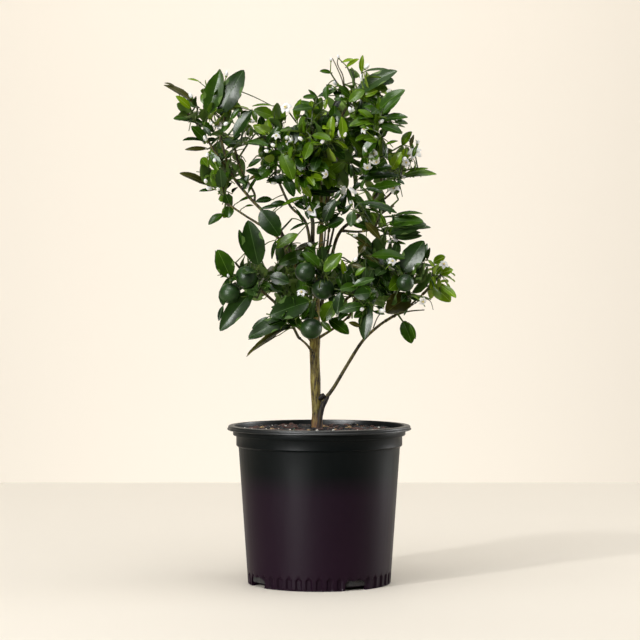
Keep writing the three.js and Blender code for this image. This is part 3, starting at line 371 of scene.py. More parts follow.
def draw(*keys):
    """A steady number from 0 up to 1 for each row of whole numbers."""
    h = 0x811C9DC5
    for key in keys:
        h = ((h ^ key) * 0x01000193) & 0xFFFFFFFF
        h = ((h ^ (h >> 15)) * 0x2C1B3C6D) & 0xFFFFFFFF
        h ^= h >> 13
    return h / 4294967296


# What the last key of a draw is for. Leaves on twigs have theirs in SHOOT_LEAVES and FINE_LEAVES.
DRAW = {"droop": 1, "fold": 2, "wave": 3, "stray": 1, "twig_turn": 7, "twig_length": 8, "filling": 13,
        "petals": 21, "bit_place": 31, "bit_turn": 32, "bit_size": 33, "bit_tilt": 34, "bit_width": 35,
        "bit_height": 36, "blossom": 41, "stalk": 42, "open": 43, "size": 44}


def as_points(rows):
    return [np.array(row, float) for row in rows]


def curve_at(points, share):
    """The place at a share of a smooth curve through the points."""
    last = len(points) - 1
    first = min(int(share * last), last - 1)
    t = share * last - first
    a, b = points[first], points[first + 1]
    before = points[first - 1] if first > 0 else 2 * a - b
    after = points[first + 2] if first + 2 <= last else 2 * b - a
    leave, arrive = 0.5 * (b - before), 0.5 * (after - a)
    return (a + leave * t + (3 * (b - a) - 2 * leave - arrive) * t ** 2
            + (2 * (a - b) + leave + arrive) * t ** 3)


def smooth_line(points, step):
    """Places about a step apart on a smooth curve through the points."""
    count = max(2, math.ceil(length_of(points) / step))
    return [curve_at(points, i / count) for i in range(count + 1)]


def place_on(points, share):
    """The place at a share of the way along a row of points, with straight stretches between."""
    place = min(max(share, 0), 1) * (len(points) - 1)
    first = min(int(place), len(points) - 2)
    return mix(points[first], points[first + 1], place - first)


def heading_on(points, share):
    return unit(place_on(points, share + HEADING_STEP) - place_on(points, share - HEADING_STEP))


def length_of(points):
    return sum(np.linalg.norm(b - a) for a, b in zip(points, points[1:]))


def widths_on(line, radii):
    """The radius at each place of a line, from radii spread evenly along it."""
    return np.interp(np.linspace(0, 1, len(line)), np.linspace(0, 1, len(radii)), radii)


def across(heading):
    """Two directions square to a heading and to each other."""
    side = unit(np.cross(heading, UP if abs(heading[2]) < NEAR_UPRIGHT else TOWARDS_FRONT))
    return side, np.cross(heading, side)


def leaned(heading, lean, turn):
    """A heading leaned over by an angle, towards a turn about itself."""
    side, other = across(heading)
    return (heading * math.cos(lean) + side * math.sin(lean) * math.cos(turn)
            + other * math.sin(lean) * math.sin(turn))


def spread_out(i, count, turn):
    """One of a count of directions spread evenly over a ball, at its own turn about the upright."""
    level = 1 - 2 * (i + 0.5) / count
    flat = math.sqrt(1 - level * level)
    return np.array([flat * math.cos(turn), flat * math.sin(turn), level])


def nearest_on(starts, ends, point):
    """The nearest place to a point on each of several straight stretches."""
    runs = ends - starts
    shares = ((point - starts) * runs).sum(axis=-1) / (runs ** 2).sum(axis=-1)
    return starts + np.clip(shares, 0, 1)[..., None] * runs


def nearest_of(starts, ends, point):
    """The nearest place to a point on any of several straight stretches."""
    found = nearest_on(starts, ends, point)
    return found[np.argmin(np.linalg.norm(found - point, axis=1))]


# ---------------------------------------------------------------- the limbs' lines

Limb = namedtuple("Limb", "points line widths heading tip")


def limb_of(points, radii, rings):
    points = as_points(points)
    line = [curve_at(points, i / rings) for i in range(rings + 1)]
    return Limb(points, line, widths_on(line, radii), unit(line[-1] - line[-2]), line[-1])


def make_limbs():
    limbs = {"trunk": limb_of(TRUNK_POINTS, TRUNK_RADII, TRUNK_RINGS)}
    for key, (parent, share, foot_radius, tip_radius, *passed) in BOUGHS.items():
        parent = limbs[parent]
        foot = parent.tip + GAP * parent.heading if share == 1 else curve_at(parent.points, share)
        limbs[key] = limb_of([foot, *passed], (foot_radius, tip_radius), len(passed) + BOUGH_SPARE_RINGS)
    return limbs


# ---------------------------------------------------------------- each mass keeps to its own space

KEYS = list(MASSES)
HEARTS = np.array([MASSES[key].heart for key in KEYS], float)
REACHES = np.array([MASSES[key].reach for key in KEYS], float)
WEIGHTS = REACHES.mean(axis=1) ** 2


def in_share(index, points, room=0.0):
    """Whether each point lies in a mass's own share of the crown."""
    points = np.atleast_2d(points)
    power = ((points[:, None, :] - HEARTS) ** 2).sum(axis=2) - WEIGHTS
    apart = np.linalg.norm(HEARTS - HEARTS[index], axis=1)
    clear = power - power[:, [index]] > 2 * (SHARE_MARGIN + room) * apart
    clear[:, index] = True
    return clear.all(axis=1)


def far_out(index, point):
    """How far out a point lies in a mass's reach: the square of 1 on its edge."""
    return (((point - HEARTS[index]) / REACHES[index]) ** 2).sum()


def front_at(x, z):
    """The mass that holds the front of the crown at x and z, and the place there."""
    found = None
    for index, (heart, reach) in enumerate(zip(HEARTS, REACHES)):
        offset = (np.array([x, z]) - heart[[0, 2]]) / reach[[0, 2]]
        depth = heart[1] - PLACED["depth"] * reach[1] * math.sqrt(max(0.0, 1 - offset @ offset))
        point = np.array([x, depth, z])
        if in_share(index, point)[0] and (found is None or depth < found[1][1]):
            found = (index, point)
    return found


# ---------------------------------------------------------------- leaves as the rule sees them

Leaf = namedtuple("Leaf", "foot tip axis up side length width tone")


def leaf_shape(foot, tip, width, face, tone):
    axis = unit(tip - foot)
    up = unit(face - axis * (face @ axis))
    return Leaf(foot, tip, axis, up, np.cross(axis, up), np.linalg.norm(tip - foot), width, tone)


def leaf_point(leaf, share, sideways):
    rise = 2 * min(share, 1 - share) * LEAF["arch"] * leaf.length
    return leaf.foot + share * leaf.length * leaf.axis + sideways * leaf.side + rise * leaf.up


def leaf_outline(leaf):
    corners = LEAF_CORNERS["large" if leaf.length >= LEAF["large"] else "small"]
    return [leaf_point(leaf, share, way * half * leaf.width) for share, half in corners for way in (1, -1)]


def leaf_samples(leaf):
    places = [leaf_point(leaf, share, aside * leaf.width)
              for share in LEAF_SAMPLES["along"] for aside in LEAF_SAMPLES["aside"]]
    return np.array([*places, leaf.tip])


def clear_of_gaps(points, gaps):
    """Whether every point stays out of the gaps that the sky shows through."""
    x, z, wide, tall = np.array(gaps, float).T
    aside = (points[:, [0]] - x) / wide
    above = (points[:, [2]] - z) / tall
    return (aside ** 2 + above ** 2 > 1).all()


def rolled_face(heading, roll):
    """The upper side of a leaf that faces the front, rolled about its own length."""
    axis = unit(heading)
    facing = unit(TOWARDS_FRONT - axis * (TOWARDS_FRONT @ axis))
    aside = np.cross(axis, facing)
    turn = math.radians(roll) * (-1 if aside[2] < 0 else 1)
    return facing * math.cos(turn) + aside * math.sin(turn)


def shoot_to(start, end):
    """A long shoot rises a little on its way, and a short one is straight."""
    length = np.linalg.norm(end - start)
    if length <= TWIG["straight"]:
        return [start, end]
    return [start, mix(start, end, 0.5) + TWIG["rise"] * length * UP, end]


# ---------------------------------------------------------------- the rule that a mass grows by

class Growth:
    """A mass while it grows: its twigs so far, and the leaves, fruit and blossom on them."""

    def __init__(self, key, limbs):
        self.key = key
        self.index = KEYS.index(key)
        self.seed = self.index + 1
        self.mass = MASSES[key]
        self.limb = limbs[key]
        self.heart = HEARTS[self.index]
        self.reach = REACHES[self.index]
        self.outward = unit(unit(self.heart * (1, 1, 0)) + TWIG["lift"] * UP)
        self.shoots, self.twigs, self.fine_twigs, self.spurs = [], [], [], []
        self.leaves, self.fruit, self.blossom = [], [], []
        self.leaf_points = np.zeros((0, 3))
        self.gather_limbs(limbs)

    def gather_limbs(self, limbs):
        """The stretches of limb near this mass, with their radii and the names of their limbs."""
        rows = [(name, *ends, width) for name, limb in limbs.items()
                for *ends, width in zip(limb.line, limb.line[1:], limb.widths)
                if min(np.linalg.norm(end - self.heart) for end in ends) < 2 * max(self.reach)]
        self.near_names, self.near_starts, self.near_ends, self.near_radii = map(np.array, zip(*rows))

    def clear_of_limbs(self, points, room, but=None):
        points = np.atleast_2d(points)[:, None, :]
        closest = nearest_on(self.near_starts, self.near_ends, points)
        far = np.linalg.norm(closest - points, axis=2) > self.near_radii + room
        return (far | (self.near_names == but)).all()

    def stretches(self):
        """The starts and the ends of the twigs so far."""
        return (np.array(side) for side in zip(*self.twigs))

    def add_twig(self, points, kept=None):
        self.twigs.extend(zip(points, points[1:]))
        if kept is not None:
            kept.append(points)

    def shoot_fits(self, points, but):
        samples = []
        for a, b in zip(points, points[1:]):
            steps = math.ceil(np.linalg.norm(b - a) / TWIG["sample"])
            samples.extend(mix(a, b, k / steps) for k in range(steps + 1))
        samples = np.array(samples)
        room = TWIG["shoot"][0] + TWIG["clear"]
        return in_share(self.index, samples).all() and self.clear_of_limbs(samples, room, but)

    def leaf_fits(self, leaf):
        samples = leaf_samples(leaf)
        outline = np.array([leaf.foot, *leaf_outline(leaf), *samples])
        return in_share(self.index, outline).all() and self.clear_of_limbs(samples, LEAF["clear"])

    def within(self, point, stretch):
        return far_out(self.index, point) < stretch ** 2

    def is_apart(self, points, room):
        """Whether points stay clear of the leaves that are there already."""
        apart = np.linalg.norm(self.leaf_points[:, None, :] - points, axis=2)
        return apart.size == 0 or apart.min() >= room

    def is_outside(self, point):
        """Whether a point lies in the outer part of the mass's reach."""
        return far_out(self.index, point) > OUTER_PART

    def shoot_leaf_is_free(self, leaf):
        outer = leaf_samples(leaf)[LEAF["near_foot"]:]
        return (self.leaf_fits(leaf) and self.within(leaf.tip, LEAF["reach"])
                and clear_of_gaps(outer, GAPS) and self.is_apart(outer, LEAF["apart"]))

    def fine_leaf_is_free(self, leaf):
        outer = leaf_samples(leaf)[FINE["near_foot"]:]
        return (self.within(leaf.tip, FINE["reach"]) and self.is_apart(outer, FINE["apart"])
                and clear_of_gaps(outer, ALL_GAPS) and self.clear_of_limbs(outer, FINE["leaf_clear"])
                and self.leaves_fruit_bare(outer))

    def leaves_fruit_bare(self, points):
        """Whether points stay out of the way of the fruit, seen from the front."""
        return all(np.hypot(points[:, 0] - centre[0], points[:, 2] - centre[2]).min() > width / 2 + 1
                   or points[:, 1].min() > centre[1] for centre, _, width in self.fruit)

    def add_leaf(self, leaf):
        self.leaves.append(leaf)
        self.leaf_points = np.vstack([self.leaf_points, leaf_samples(leaf)[LEAF["near_foot"]:]])

    def own_rows(self, rows, spot):
        """The rows whose spot on the front of the crown is this mass's, each with its place there."""
        for row in rows:
            front = front_at(*spot(row))
            if front and front[0] == self.index:
                yield row, front[1]

    def nearest_on_stem(self, point):
        """The place on the stem that a shoot to a point leaves from, sooner low down than high up."""
        shares = [PLACED["lowest"] + PLACED["step"] * i for i in range(PLACED["steps"])]
        return place_on(self.stem, min(shares, key=lambda share: (
            np.linalg.norm(place_on(self.stem, share) - point) + PLACED["low"] * share)))

    def grow_stem(self):
        foot = self.limb.tip + GAP * self.limb.heading
        lead = foot + TWIG["lead"] * self.limb.heading
        end = self.heart + TWIG["beyond"] * self.outward * self.reach
        middle = curve_at([foot, lead, self.heart, end], 0.5)
        self.stem = [foot, lead, middle, self.heart, end]
        self.add_twig(self.stem)

    def place_leaf(self, row, middle):
        """A leaf of the front, as large and as near its place as there is room for."""
        foot_x, foot_z, tip_x, tip_z, width, roll, tone = row
        for size, shift in product(PLACED["sizes"], PLACED["shifts"]):
            half = np.array([tip_x - foot_x, -PLACED["forward"], tip_z - foot_z]) * size / 2
            centre = middle + shift * TOWARDS_FRONT
            leaf = leaf_shape(centre - half, centre + half, width * size, rolled_face(half, roll), tone)
            points = shoot_to(self.nearest_on_stem(leaf.foot), leaf.foot + LEAF["sunk"] * leaf.axis)
            if self.shoot_fits(points, self.key) and self.leaf_fits(leaf):
                self.add_twig(points, self.shoots)
                self.add_leaf(leaf)
                return

    def grow_shoots(self):
        """The other shoots, spread evenly about the heart."""
        count = self.mass.shoots
        for i in range(count):
            turn = i * GOLDEN_TURN + SPREAD["stray"] * draw(self.seed, i, DRAW["stray"])
            spread = unit(spread_out(i, count, turn) + SPREAD["outward"] * self.outward)
            start = place_on(self.stem, SPREAD["highest"] - SPREAD["over"] * (i + 0.5) / count)
            for size in SPREAD["sizes"]:
                end = self.heart + size * spread * self.reach
                points = shoot_to(start, end)
                if np.linalg.norm(end - start) > LEAF["pitch"] and self.shoot_fits(points, None):
                    self.add_twig(points, self.shoots)
                    break

    def spur_to(self, point):
        """The shortest way from a twig to a point that is clear of every limb."""
        found = nearest_on(*self.stretches(), point)
        for place in found[np.argsort(np.linalg.norm(found - point, axis=1), kind="stable")]:
            if self.shoot_fits([place, point], None):
                return [place, point]
        return None

    def hang(self, rows, raised, kept):
        """Fruit and blossom hang from spurs, as far forward as there is room for them."""
        for (_, _, width), front in self.own_rows(rows, lambda row: row[:2]):
            for shift in PLACED["shifts"]:
                centre = front + shift * TOWARDS_FRONT
                spur = self.spur_to(centre + raised * width * UP)
                if (spur and in_share(self.index, centre, width / 2)[0]
                        and self.clear_of_limbs(centre, width / 2 + GAP)):
                    self.add_twig(spur, self.spurs)
                    kept.append((centre, spur[0], width))
                    self.leaf_points = np.vstack([self.leaf_points, centre])
                    break

    def one_leaf(self, rule, points, keys, station, stations, attempt):
        """One try for the leaf at a station of a twig. Each try turns it on and makes it smaller."""
        to_turn, to_size, to_face, to_tone = rule["draws"]
        share = mix(rule["from"], 1, station / stations)
        base = place_on(points, share)
        heading = unit(points[-1] - points[0]) if rule["chord"] else heading_on(points, share)
        away = unit(base * (1, 1, 0))
        at_tip = station == stations
        turn = station * GOLDEN_TURN + attempt * TURN_ON + 2 * math.pi * draw(*keys, to_turn)
        lean = rule["tip_lean"] if at_tip and attempt == 0 else rule["lean"]
        axis = unit(leaned(heading, lean, turn) + rule["outward"] * away)
        length = (self.mass.leaf * mix(*rule["sizes"], draw(*keys, station, to_size))
                  * (1 - rule["shrink"] * attempt))
        face = (FACE["along"] * heading + FACE["up"] * UP + FACE["away"] * away
                + across(heading)[0] * (draw(*keys, station, to_face) - FACE["stray"]))
        tone = self.mass.tones[int(draw(*keys, to_tone) * len(self.mass.tones))]
        root = base - (rule["sunk"] if at_tip else 0) * heading
        return leaf_shape(root, root + length * axis, length * rule["ratio"], face, tone)

    def grow_leaves(self, rule, points, is_free, *keys):
        """Leaves alternate along a twig, each a golden turn on from the last."""
        stations = max(rule["fewest"], math.floor(rule["over"] * length_of(points) / rule["pitch"] + 0.5))
        for station in range(stations + 1):
            for attempt in range(rule["attempts"]):
                leaf = self.one_leaf(rule, points, (self.seed, *keys), station, stations, attempt)
                if is_free(leaf):
                    self.add_leaf(leaf)
                    break

    def hang_front_leaves(self):
        """Each hangs on a fine twig of its own, far enough forward to be clear of other leaves."""
        for row, front in self.own_rows(FRONT_LEAVES, middle_of):
            foot_x, foot_z, tip_x, tip_z, width, roll, tone = row
            half = np.array([tip_x - foot_x, -FINE["tilt"], tip_z - foot_z]) / 2
            for forward in FINE["forward"]:
                middle = front + forward * TOWARDS_FRONT
                leaf = leaf_shape(middle - half, middle + half, width, rolled_face(half, roll), tone)
                if self.is_apart(leaf_samples(leaf), FINE["apart"]):
                    break
            starts, ends = self.stretches()
            starts = np.vstack([self.near_starts, starts])
            ends = np.vstack([self.near_ends, ends])
            base = nearest_of(starts, ends, leaf.foot)
            end = leaf.foot + FINE["sunk"] * leaf.axis
            self.fine_twigs.append([base, mix(base, leaf.foot, 0.5) + UP, end])
            self.add_leaf(leaf)

    def grow_fine_twigs(self, points, shoot):
        """Finer twigs stand along a shoot, each with a spray of small leaves."""
        count = max(1, round(length_of(points) / FINE["pitch"]))
        for i in range(count):
            share = mix(FINE["from"], FINE["to"], (i + 0.5) / count)
            base = place_on(points, share)
            turn = i * GOLDEN_TURN + 2 * math.pi * draw(self.seed, shoot, i, DRAW["twig_turn"])
            axis = unit(leaned(heading_on(points, share), FINE["lean"], turn) + FINE["lift"] * UP)
            tip = base + mix(*FINE["length"], draw(self.seed, shoot, i, DRAW["twig_length"])) * axis
            if (self.within(tip, 1.0) and self.clear_of_limbs(tip, FINE["clear"])
                    and clear_of_gaps(tip[None], ALL_GAPS)):
                twig = [base, mix(base, tip, 0.5) + FINE["bow"] * UP, tip]
                self.fine_twigs.append(twig)
                self.grow_leaves(FINE_LEAVES, twig, self.fine_leaf_is_free, shoot, i)

    def grow_filling(self):
        """Fine twigs reach what the shoots leave open, evenly over the mass's space."""
        count = round(self.mass.fill * FINE["spread"] * self.reach.mean() ** 2)
        for i in range(count):
            spread = spread_out(i, count, i * GOLDEN_TURN + self.seed)
            out = mix(*FINE["within"], draw(self.seed, i, DRAW["filling"]))
            tip = self.heart + out * spread * self.reach
            base = nearest_of(*self.stretches(), tip)
            length = np.linalg.norm(tip - base)
            if (clear_of_gaps(tip[None], ALL_GAPS) and FINE["shortest"] < length < FINE["longest"]
                    and in_share(self.index, tip)[0] and self.clear_of_limbs(tip, FINE["clear"])):
                twig = [base, mix(base, tip, 0.5) + FINE["rise"] * length * UP, tip]
                self.add_twig(twig, self.fine_twigs)
                self.grow_leaves(FINE_LEAVES, twig, self.fine_leaf_is_free, FINE["filling"], i)

    def grow(self):
        self.grow_stem()
        for row, middle in self.own_rows(LEAVES, middle_of):
            self.place_leaf(row, middle)
        self.grow_shoots()
        self.hang(FRUIT, SPUR_END["fruit"], self.fruit)
        self.hang(BLOSSOM, SPUR_END["blossom"], self.blossom)
        for i, points in enumerate([*self.shoots, self.stem[-2:]]):
            self.grow_leaves(SHOOT_LEAVES, points, self.shoot_leaf_is_free, i)
        self.hang_front_leaves()
        for i, points in enumerate([*self.shoots, self.stem[2:]]):
            self.grow_fine_twigs(points, i)
        self.grow_filling()
        return self


def middle_of(row):
    """The middle of a leaf's row, seen from the front."""
    return (row[0] + row[2]) / 2, (row[1] + row[3]) / 2


# ---------------------------------------------------------------- materials

# Heights in metres: where bark reddens towards the soil, and where the pot's polished rim begins.
REDDENS = (0.235, 0.212)
POLISHED = (0.2108, 0.212)


def linear(hex_colour):
    """An sRGB colour such as "4c7a1e" as linear red, green, blue and alpha."""
    channels = [int(hex_colour[i:i + 2], 16) / 255 for i in (0, 2, 4)]
    return (*[c / 12.92 if c <= 0.04045 else ((c + 0.055) / 1.055) ** 2.4 for c in channels], 1.0)


def add_node(tree, kind, settings=None, inputs=None, stops=()):
    """A node with its settings. An input is a value or the output that feeds it."""
    node = tree.nodes.new(kind)
    for name, value in (settings or {}).items():
        setattr(node, name, value)
    for name, value in (inputs or {}).items():
        if isinstance(value, bpy.types.NodeSocket):
            tree.links.new(value, node.inputs[name])
        else:
            node.inputs[name].default_value = value
    for i, (place, colour) in enumerate(stops):
        stop = node.color_ramp.elements[i] if i < 2 else node.color_ramp.elements.new(place)
        stop.position = place
        stop.color = linear(colour)
    return node


def new_material(name, values):
    """A material with its uniform values: itself, its tree and its surface shader."""
    material = bpy.data.materials.new(name)
    material.use_nodes = True
    shader = material.node_tree.nodes["Principled BSDF"]
    for socket, value in values.items():
        shader.inputs[socket].default_value = value
    return material, material.node_tree, shader


def object_place(tree):
    return add_node(tree, "ShaderNodeTexCoord").outputs["Object"]


def object_height(tree):
    return add_node(tree, "ShaderNodeSeparateXYZ", {}, {"Vector": object_place(tree)}).outputs["Z"]


def noise(tree, scale, detail=2.0, roughness=0.5, drawn=None):
    """Noise at a scale in cells per metre. drawn, where it is given, draws it out upwards."""
    place = object_place(tree)
    if drawn:
        scaled = add_node(tree, "ShaderNodeMapping", {}, {"Vector": place, "Scale": (1.0, 1.0, drawn)})
        place = scaled.outputs["Vector"]
    return add_node(tree, "ShaderNodeTexNoise", {}, {"Vector": place, "Scale": scale, "Detail": detail,
                                                     "Roughness": roughness}).outputs["Fac"]


def in_range(tree, value, start, end, low, high):
    """A value that runs from start to end, turned into one that runs from low to high."""
    return add_node(tree, "ShaderNodeMapRange", {}, {"Value": value, "From Min": start, "From Max": end,
                                                     "To Min": low, "To Max": high}).outputs["Result"]


def colours_of(tree, pattern, *stops):
    return add_node(tree, "ShaderNodeValToRGB", {}, {"Fac": pattern}, stops).outputs["Color"]


def raise_by(tree, shader, pattern, strength, distance):
    bump = add_node(tree, "ShaderNodeBump", {},
                    {"Strength": strength, "Distance": distance, "Height": pattern})
    tree.links.new(bump.outputs["Normal"], shader.inputs["Normal"])


def patterned(name, values, pattern, stops=(), bump=()):
    """A material with one noise, which deals out the colours of its stops and stands up by its bump."""
    material, tree, shader = new_material(name, values)
    fac = noise(tree, **pattern)
    if stops:
        tree.links.new(colours_of(tree, fac, *stops), shader.inputs["Base Color"])
    if bump:
        raise_by(tree, shader, fac, *bump)
    return material


def citrus_blade(tone, colour, deeper):
    """The upper side of a citrus leaf: a waxed cuticle over dark tissue, so a broad soft gloss that
    breaks up over the slight quilting between the side veins. Veins stand about 4 mm apart."""
    material, tree, shader = new_material(
        f"citrus_blade_{tone}", {"Roughness": 0.26, "IOR": 1.45, "Specular IOR Level": 0.14})
    patches = colours_of(tree, noise(tree, 45.0, 3.0), (0.3, deeper), (0.7, colour))
    tree.links.new(patches, shader.inputs["Base Color"])
    raise_by(tree, shader, noise(tree, 260.0), 0.18, 0.0006)
    return material


def citrus_underside(tone, colour):
    """The underside of a citrus leaf: no wax, so paler, yellower and matt."""
    return patterned(f"citrus_underside_{tone}",
                     {"Base Color": linear(colour), "Roughness": 0.6, "IOR": 1.4, "Specular IOR Level": 0.2},
                     {"scale": 90.0}, bump=(0.2, 0.0005))


def citrus_midrib(tone, colour):
    """The midrib seen from above: a cord of bare tissue, paler than the blade and a little glossy."""
    return new_material(f"citrus_midrib_{tone}", {"Base Color": linear(colour), "Roughness": 0.45,
                                                  "IOR": 1.45, "Specular IOR Level": 0.15})[0]


def young_citrus_bark(name, dark, middle, light, redden=0.8):
    """Bark of a few years: thin and smooth, olive where it still greens, with brown cracks that
    run up the stem about 2 mm apart, redder just over the soil."""
    material, tree, shader = new_material(name, {"Roughness": 0.72, "IOR": 1.45, "Specular IOR Level": 0.25})
    cracks = noise(tree, 420.0, 6.0, 0.65, 0.14)
    colours = colours_of(tree, cracks, (0.38, dark), (0.64, light), (0.5, middle))
    near_soil = in_range(tree, object_height(tree), *REDDENS, 0.0, redden)
    reddened = add_node(tree, "ShaderNodeMix", {"data_type": "RGBA", "blend_type": "MIX"},
                        {0: near_soil, 6: colours, 7: linear("8a5a3c")})
    tree.links.new(reddened.outputs[2], shader.inputs["Base Color"])
    raise_by(tree, shader, cracks, 0.7, 0.0008)
    return material


def green_twig_bark(name, deep, bright):
    """Tissue still green and slightly waxed: this year's twigs, the stalks of flowers and their
    calyxes, with patches about 8 mm apart."""
    return patterned(name, {"Roughness": 0.5, "IOR": 1.45, "Specular IOR Level": 0.25},
                     {"scale": 120.0, "detail": 3.0}, [(0.35, deep), (0.68, bright)])


def unripe_calamondin_peel():
    """Unripe calamondin peel: deep green and oily, so a soft highlight over oil glands about
    0.8 mm apart, drawn 1.2 mm apart so that they show."""
    material, tree, shader = new_material("unripe_calamondin_peel",
                                          {"Roughness": 0.36, "IOR": 1.47, "Specular IOR Level": 0.2})
    glands = add_node(tree, "ShaderNodeTexVoronoi", {}, {"Vector": object_place(tree), "Scale": 830.0})
    patches = colours_of(tree, noise(tree, 60.0), (0.3, "15260f"), (0.75, "2c4a1c"))
    tree.links.new(patches, shader.inputs["Base Color"])
    raise_by(tree, shader, glands.outputs["Distance"], 0.35, 0.0004)
    return material


def citrus_petal():
    """Citrus petals: thick, waxy and white, with cream patches."""
    return patterned("citrus_petal", {"Roughness": 0.45, "IOR": 1.4, "Subsurface Weight": 0.6,
                                      "Subsurface Scale": 0.003, "Subsurface Radius": (1.0, 1.0, 0.9)},
                     {"scale": 220.0}, [(0.3, "f4f2e6"), (0.7, "ffffff")])


def citrus_stamen():
    """Stamens: pollen on pale threads, dry and matt."""
    return new_material("citrus_stamen", {"Base Color": linear("eadb95"), "Roughness": 0.8})[0]


def moulded_black_polyethylene():
    """A nursery pot, injection moulded thin from recycled black polyethylene: a satin skin with a
    soft broad highlight, faintly blue-green high up and purplish low down, fine flow marks about
    8 mm apart that run down the wall, and a rim polished by the mould."""
    material, tree, shader = new_material("moulded_black_polyethylene", {"IOR": 1.5})
    height = object_height(tree)
    up_the_pot = in_range(tree, height, 0.0, POT["height"] / METRE, 0.0, 1.0)
    tint = colours_of(tree, up_the_pot, (0.1, "1d0b1b"), (0.72, "020708"), (0.58, "1a0b19"))
    flow = noise(tree, 130.0, 4.0, drawn=0.1)
    tree.links.new(tint, shader.inputs["Base Color"])
    tree.links.new(in_range(tree, flow, 0.3, 0.7, 0.36, 0.44), shader.inputs["Roughness"])
    tree.links.new(in_range(tree, height, *POLISHED, 0.08, 0.32), shader.inputs["Specular IOR Level"])
    raise_by(tree, shader, flow, 0.06, 0.0005)
    return material


def moist_mix_in_painted_shade():
    """Moist potting mix of composted bark and peat, crumbly and matt, in 2 to 5 mm crumbs:
    dark of itself, and darkened further to near-black as painted shade inside the pot.
    """
    return patterned("moist_mix_in_painted_shade", {"Roughness": 0.95},
                     {"scale": 260.0, "detail": 8.0, "roughness": 0.7},
                     [(0.3, "050302"), (0.82, "33241a"), (0.55, "110b08")], (0.9, 0.002))


def potting_bit(name, colour, roughness):
    """One kind of bit in the mix, broken and dry on top, so matt with a grain of about 1 mm."""
    return patterned(name, {"Base Color": linear(colour), "Roughness": roughness},
                     {"scale": 900.0, "detail": 4.0}, bump=(0.5, 0.0006))


def studio_paint(name, colour):
    """Matt emulsion on the studio's floor and wall."""
    return patterned(name, {"Base Color": linear(colour), "Roughness": 0.8}, {"scale": 300.0},
                     bump=(0.02, 0.0005))


# ---------------------------------------------------------------- meshes

class Mould:
    """Corners and faces gathered for one piece, and the number of each face's material."""

    def __init__(self):
        self.corners = []
        self.faces = []
        self.numbers = []
        self.count = 0

    def add(self, corners, faces, numbers=None):
        self.corners.append(np.asarray(corners, float))
        self.faces.extend(tuple(self.count + i for i in face) for face in faces)
        self.numbers.extend(numbers or [0] * len(faces))
        self.count += len(corners)

    def mesh(self, name):
        mesh = bpy.data.meshes.new(name)
        mesh.from_pydata((np.vstack(self.corners) / METRE).tolist(), [], self.faces)
        return mesh


def build_mesh(name, mould, materials, node_names=(), smooth_to=60):
    """A piece from its gathered corners, riding on the plant and standing for its CAD nodes."""
    mesh = mould.mesh(name)
    for material in materials:
        mesh.materials.append(material)
    mesh.polygons.foreach_set("material_index", mould.numbers)
    mesh.shade_smooth()
    mesh.set_sharp_from_angle(angle=math.radians(smooth_to))
    piece = bpy.data.objects.new(name, mesh)
    bpy.context.collection.objects.link(piece)
    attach(piece, "root")
    if node_names:
        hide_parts(*node_names)
    return piece


def ring_faces(rows, columns):
    """Faces of a closed form of rings, whose two end corners follow its rows of corners."""
    ends, last = rows * columns, (rows - 1) * columns
    pairs = [(k, (k + 1) % columns) for k in range(columns)]
    faces = [(a + k, a + n, a + columns + n, a + columns + k)
             for a in range(0, last, columns) for k, n in pairs]
    for k, n in pairs:
        faces.append((ends, n, k))
        faces.append((ends + 1, last + k, last + n))
    return faces


def round_turns(count):
    return np.linspace(0, 2 * math.pi, count, endpoint=False)


def tube_parts(points, radii, sides, ripple=None):
    """Corners and faces of a closed round limb. ripple gives each corner's share of its radius."""
    count = len(points)
    turns = round_turns(sides)
    side = None
    rings = []
    for i, point in enumerate(points):
        heading = unit(points[min(i + 1, count - 1)] - points[max(i - 1, 0)])
        side = across(heading)[0] if side is None else side
        side = unit(side - heading * (side @ heading))
        other = np.cross(heading, side)
        radius = radii[i] * (np.ones(sides) if ripple is None else ripple[i])
        by_side = (radius * np.cos(turns))[:, None] * side
        by_other = (radius * np.sin(turns))[:, None] * other
        rings.append(point + by_side + by_other)
    return np.vstack([*rings, points[0], points[-1]]), ring_faces(count, sides)


def round_parts(centre, axis, profile, columns):
    """A turned form about an axis: profile is rows of (distance along the axis, radius)."""
    side, other = across(axis)
    turns = round_turns(columns)
    ring = np.outer(np.cos(turns), side) + np.outer(np.sin(turns), other)
    corners = [centre + along * axis + radius * ring for along, radius in profile[1:-1]]
    corners = np.vstack([*corners, centre + profile[0][0] * axis, centre + profile[-1][0] * axis])
    return corners, ring_faces(len(profile) - 2, columns)


# ---------------------------------------------------------------- bark

# The trunk's radii with its bark, spread evenly along it.
BARK_RADII = [8.2, 6.4, 7.1, 7.3, 4.6, 3.1, 2.4]
# The steps between rings of bark, the sides of each kind of limb, the share of its solid's radius that
# a bough keeps, how much wider it is at its foot, and over what length.
BARK = {"step": 2.0, "trunk_sides": 32, "bough_sides": 14, "bough_taper": 0.84, "bough_flare": 0.45,
        "heel_step": 1.2, "heel_sides": 16, "collar": 9}
# Ridges and lumps of bark: how far they stand out, as shares of the radius, how many rings each is
# long, how many sides a ridge is wide and how many lumps go around.
RIPPLE = {"ridge": 0.055, "lump": 0.07, "ridge_rings": 9, "lump_rings": 14, "ridge_sides": 3,
          "lumps_around": 3}
# Where the seeds of each kind of limb begin. The lumps' seed is that much beyond the ridges'.
SEEDS = {"trunk": 1, "bough": 10, "lumps": 50, "knot": 90, "heel": 120, "stem": 200, "front_stem": 300}
# Knots where old shoots came off the trunk: height, turn in degrees from the front, and size.
KNOTS = [(233, -40, 1.5), (292, 20, 1.3), (318, -75, 1.6), (352, 40, 1.5)]
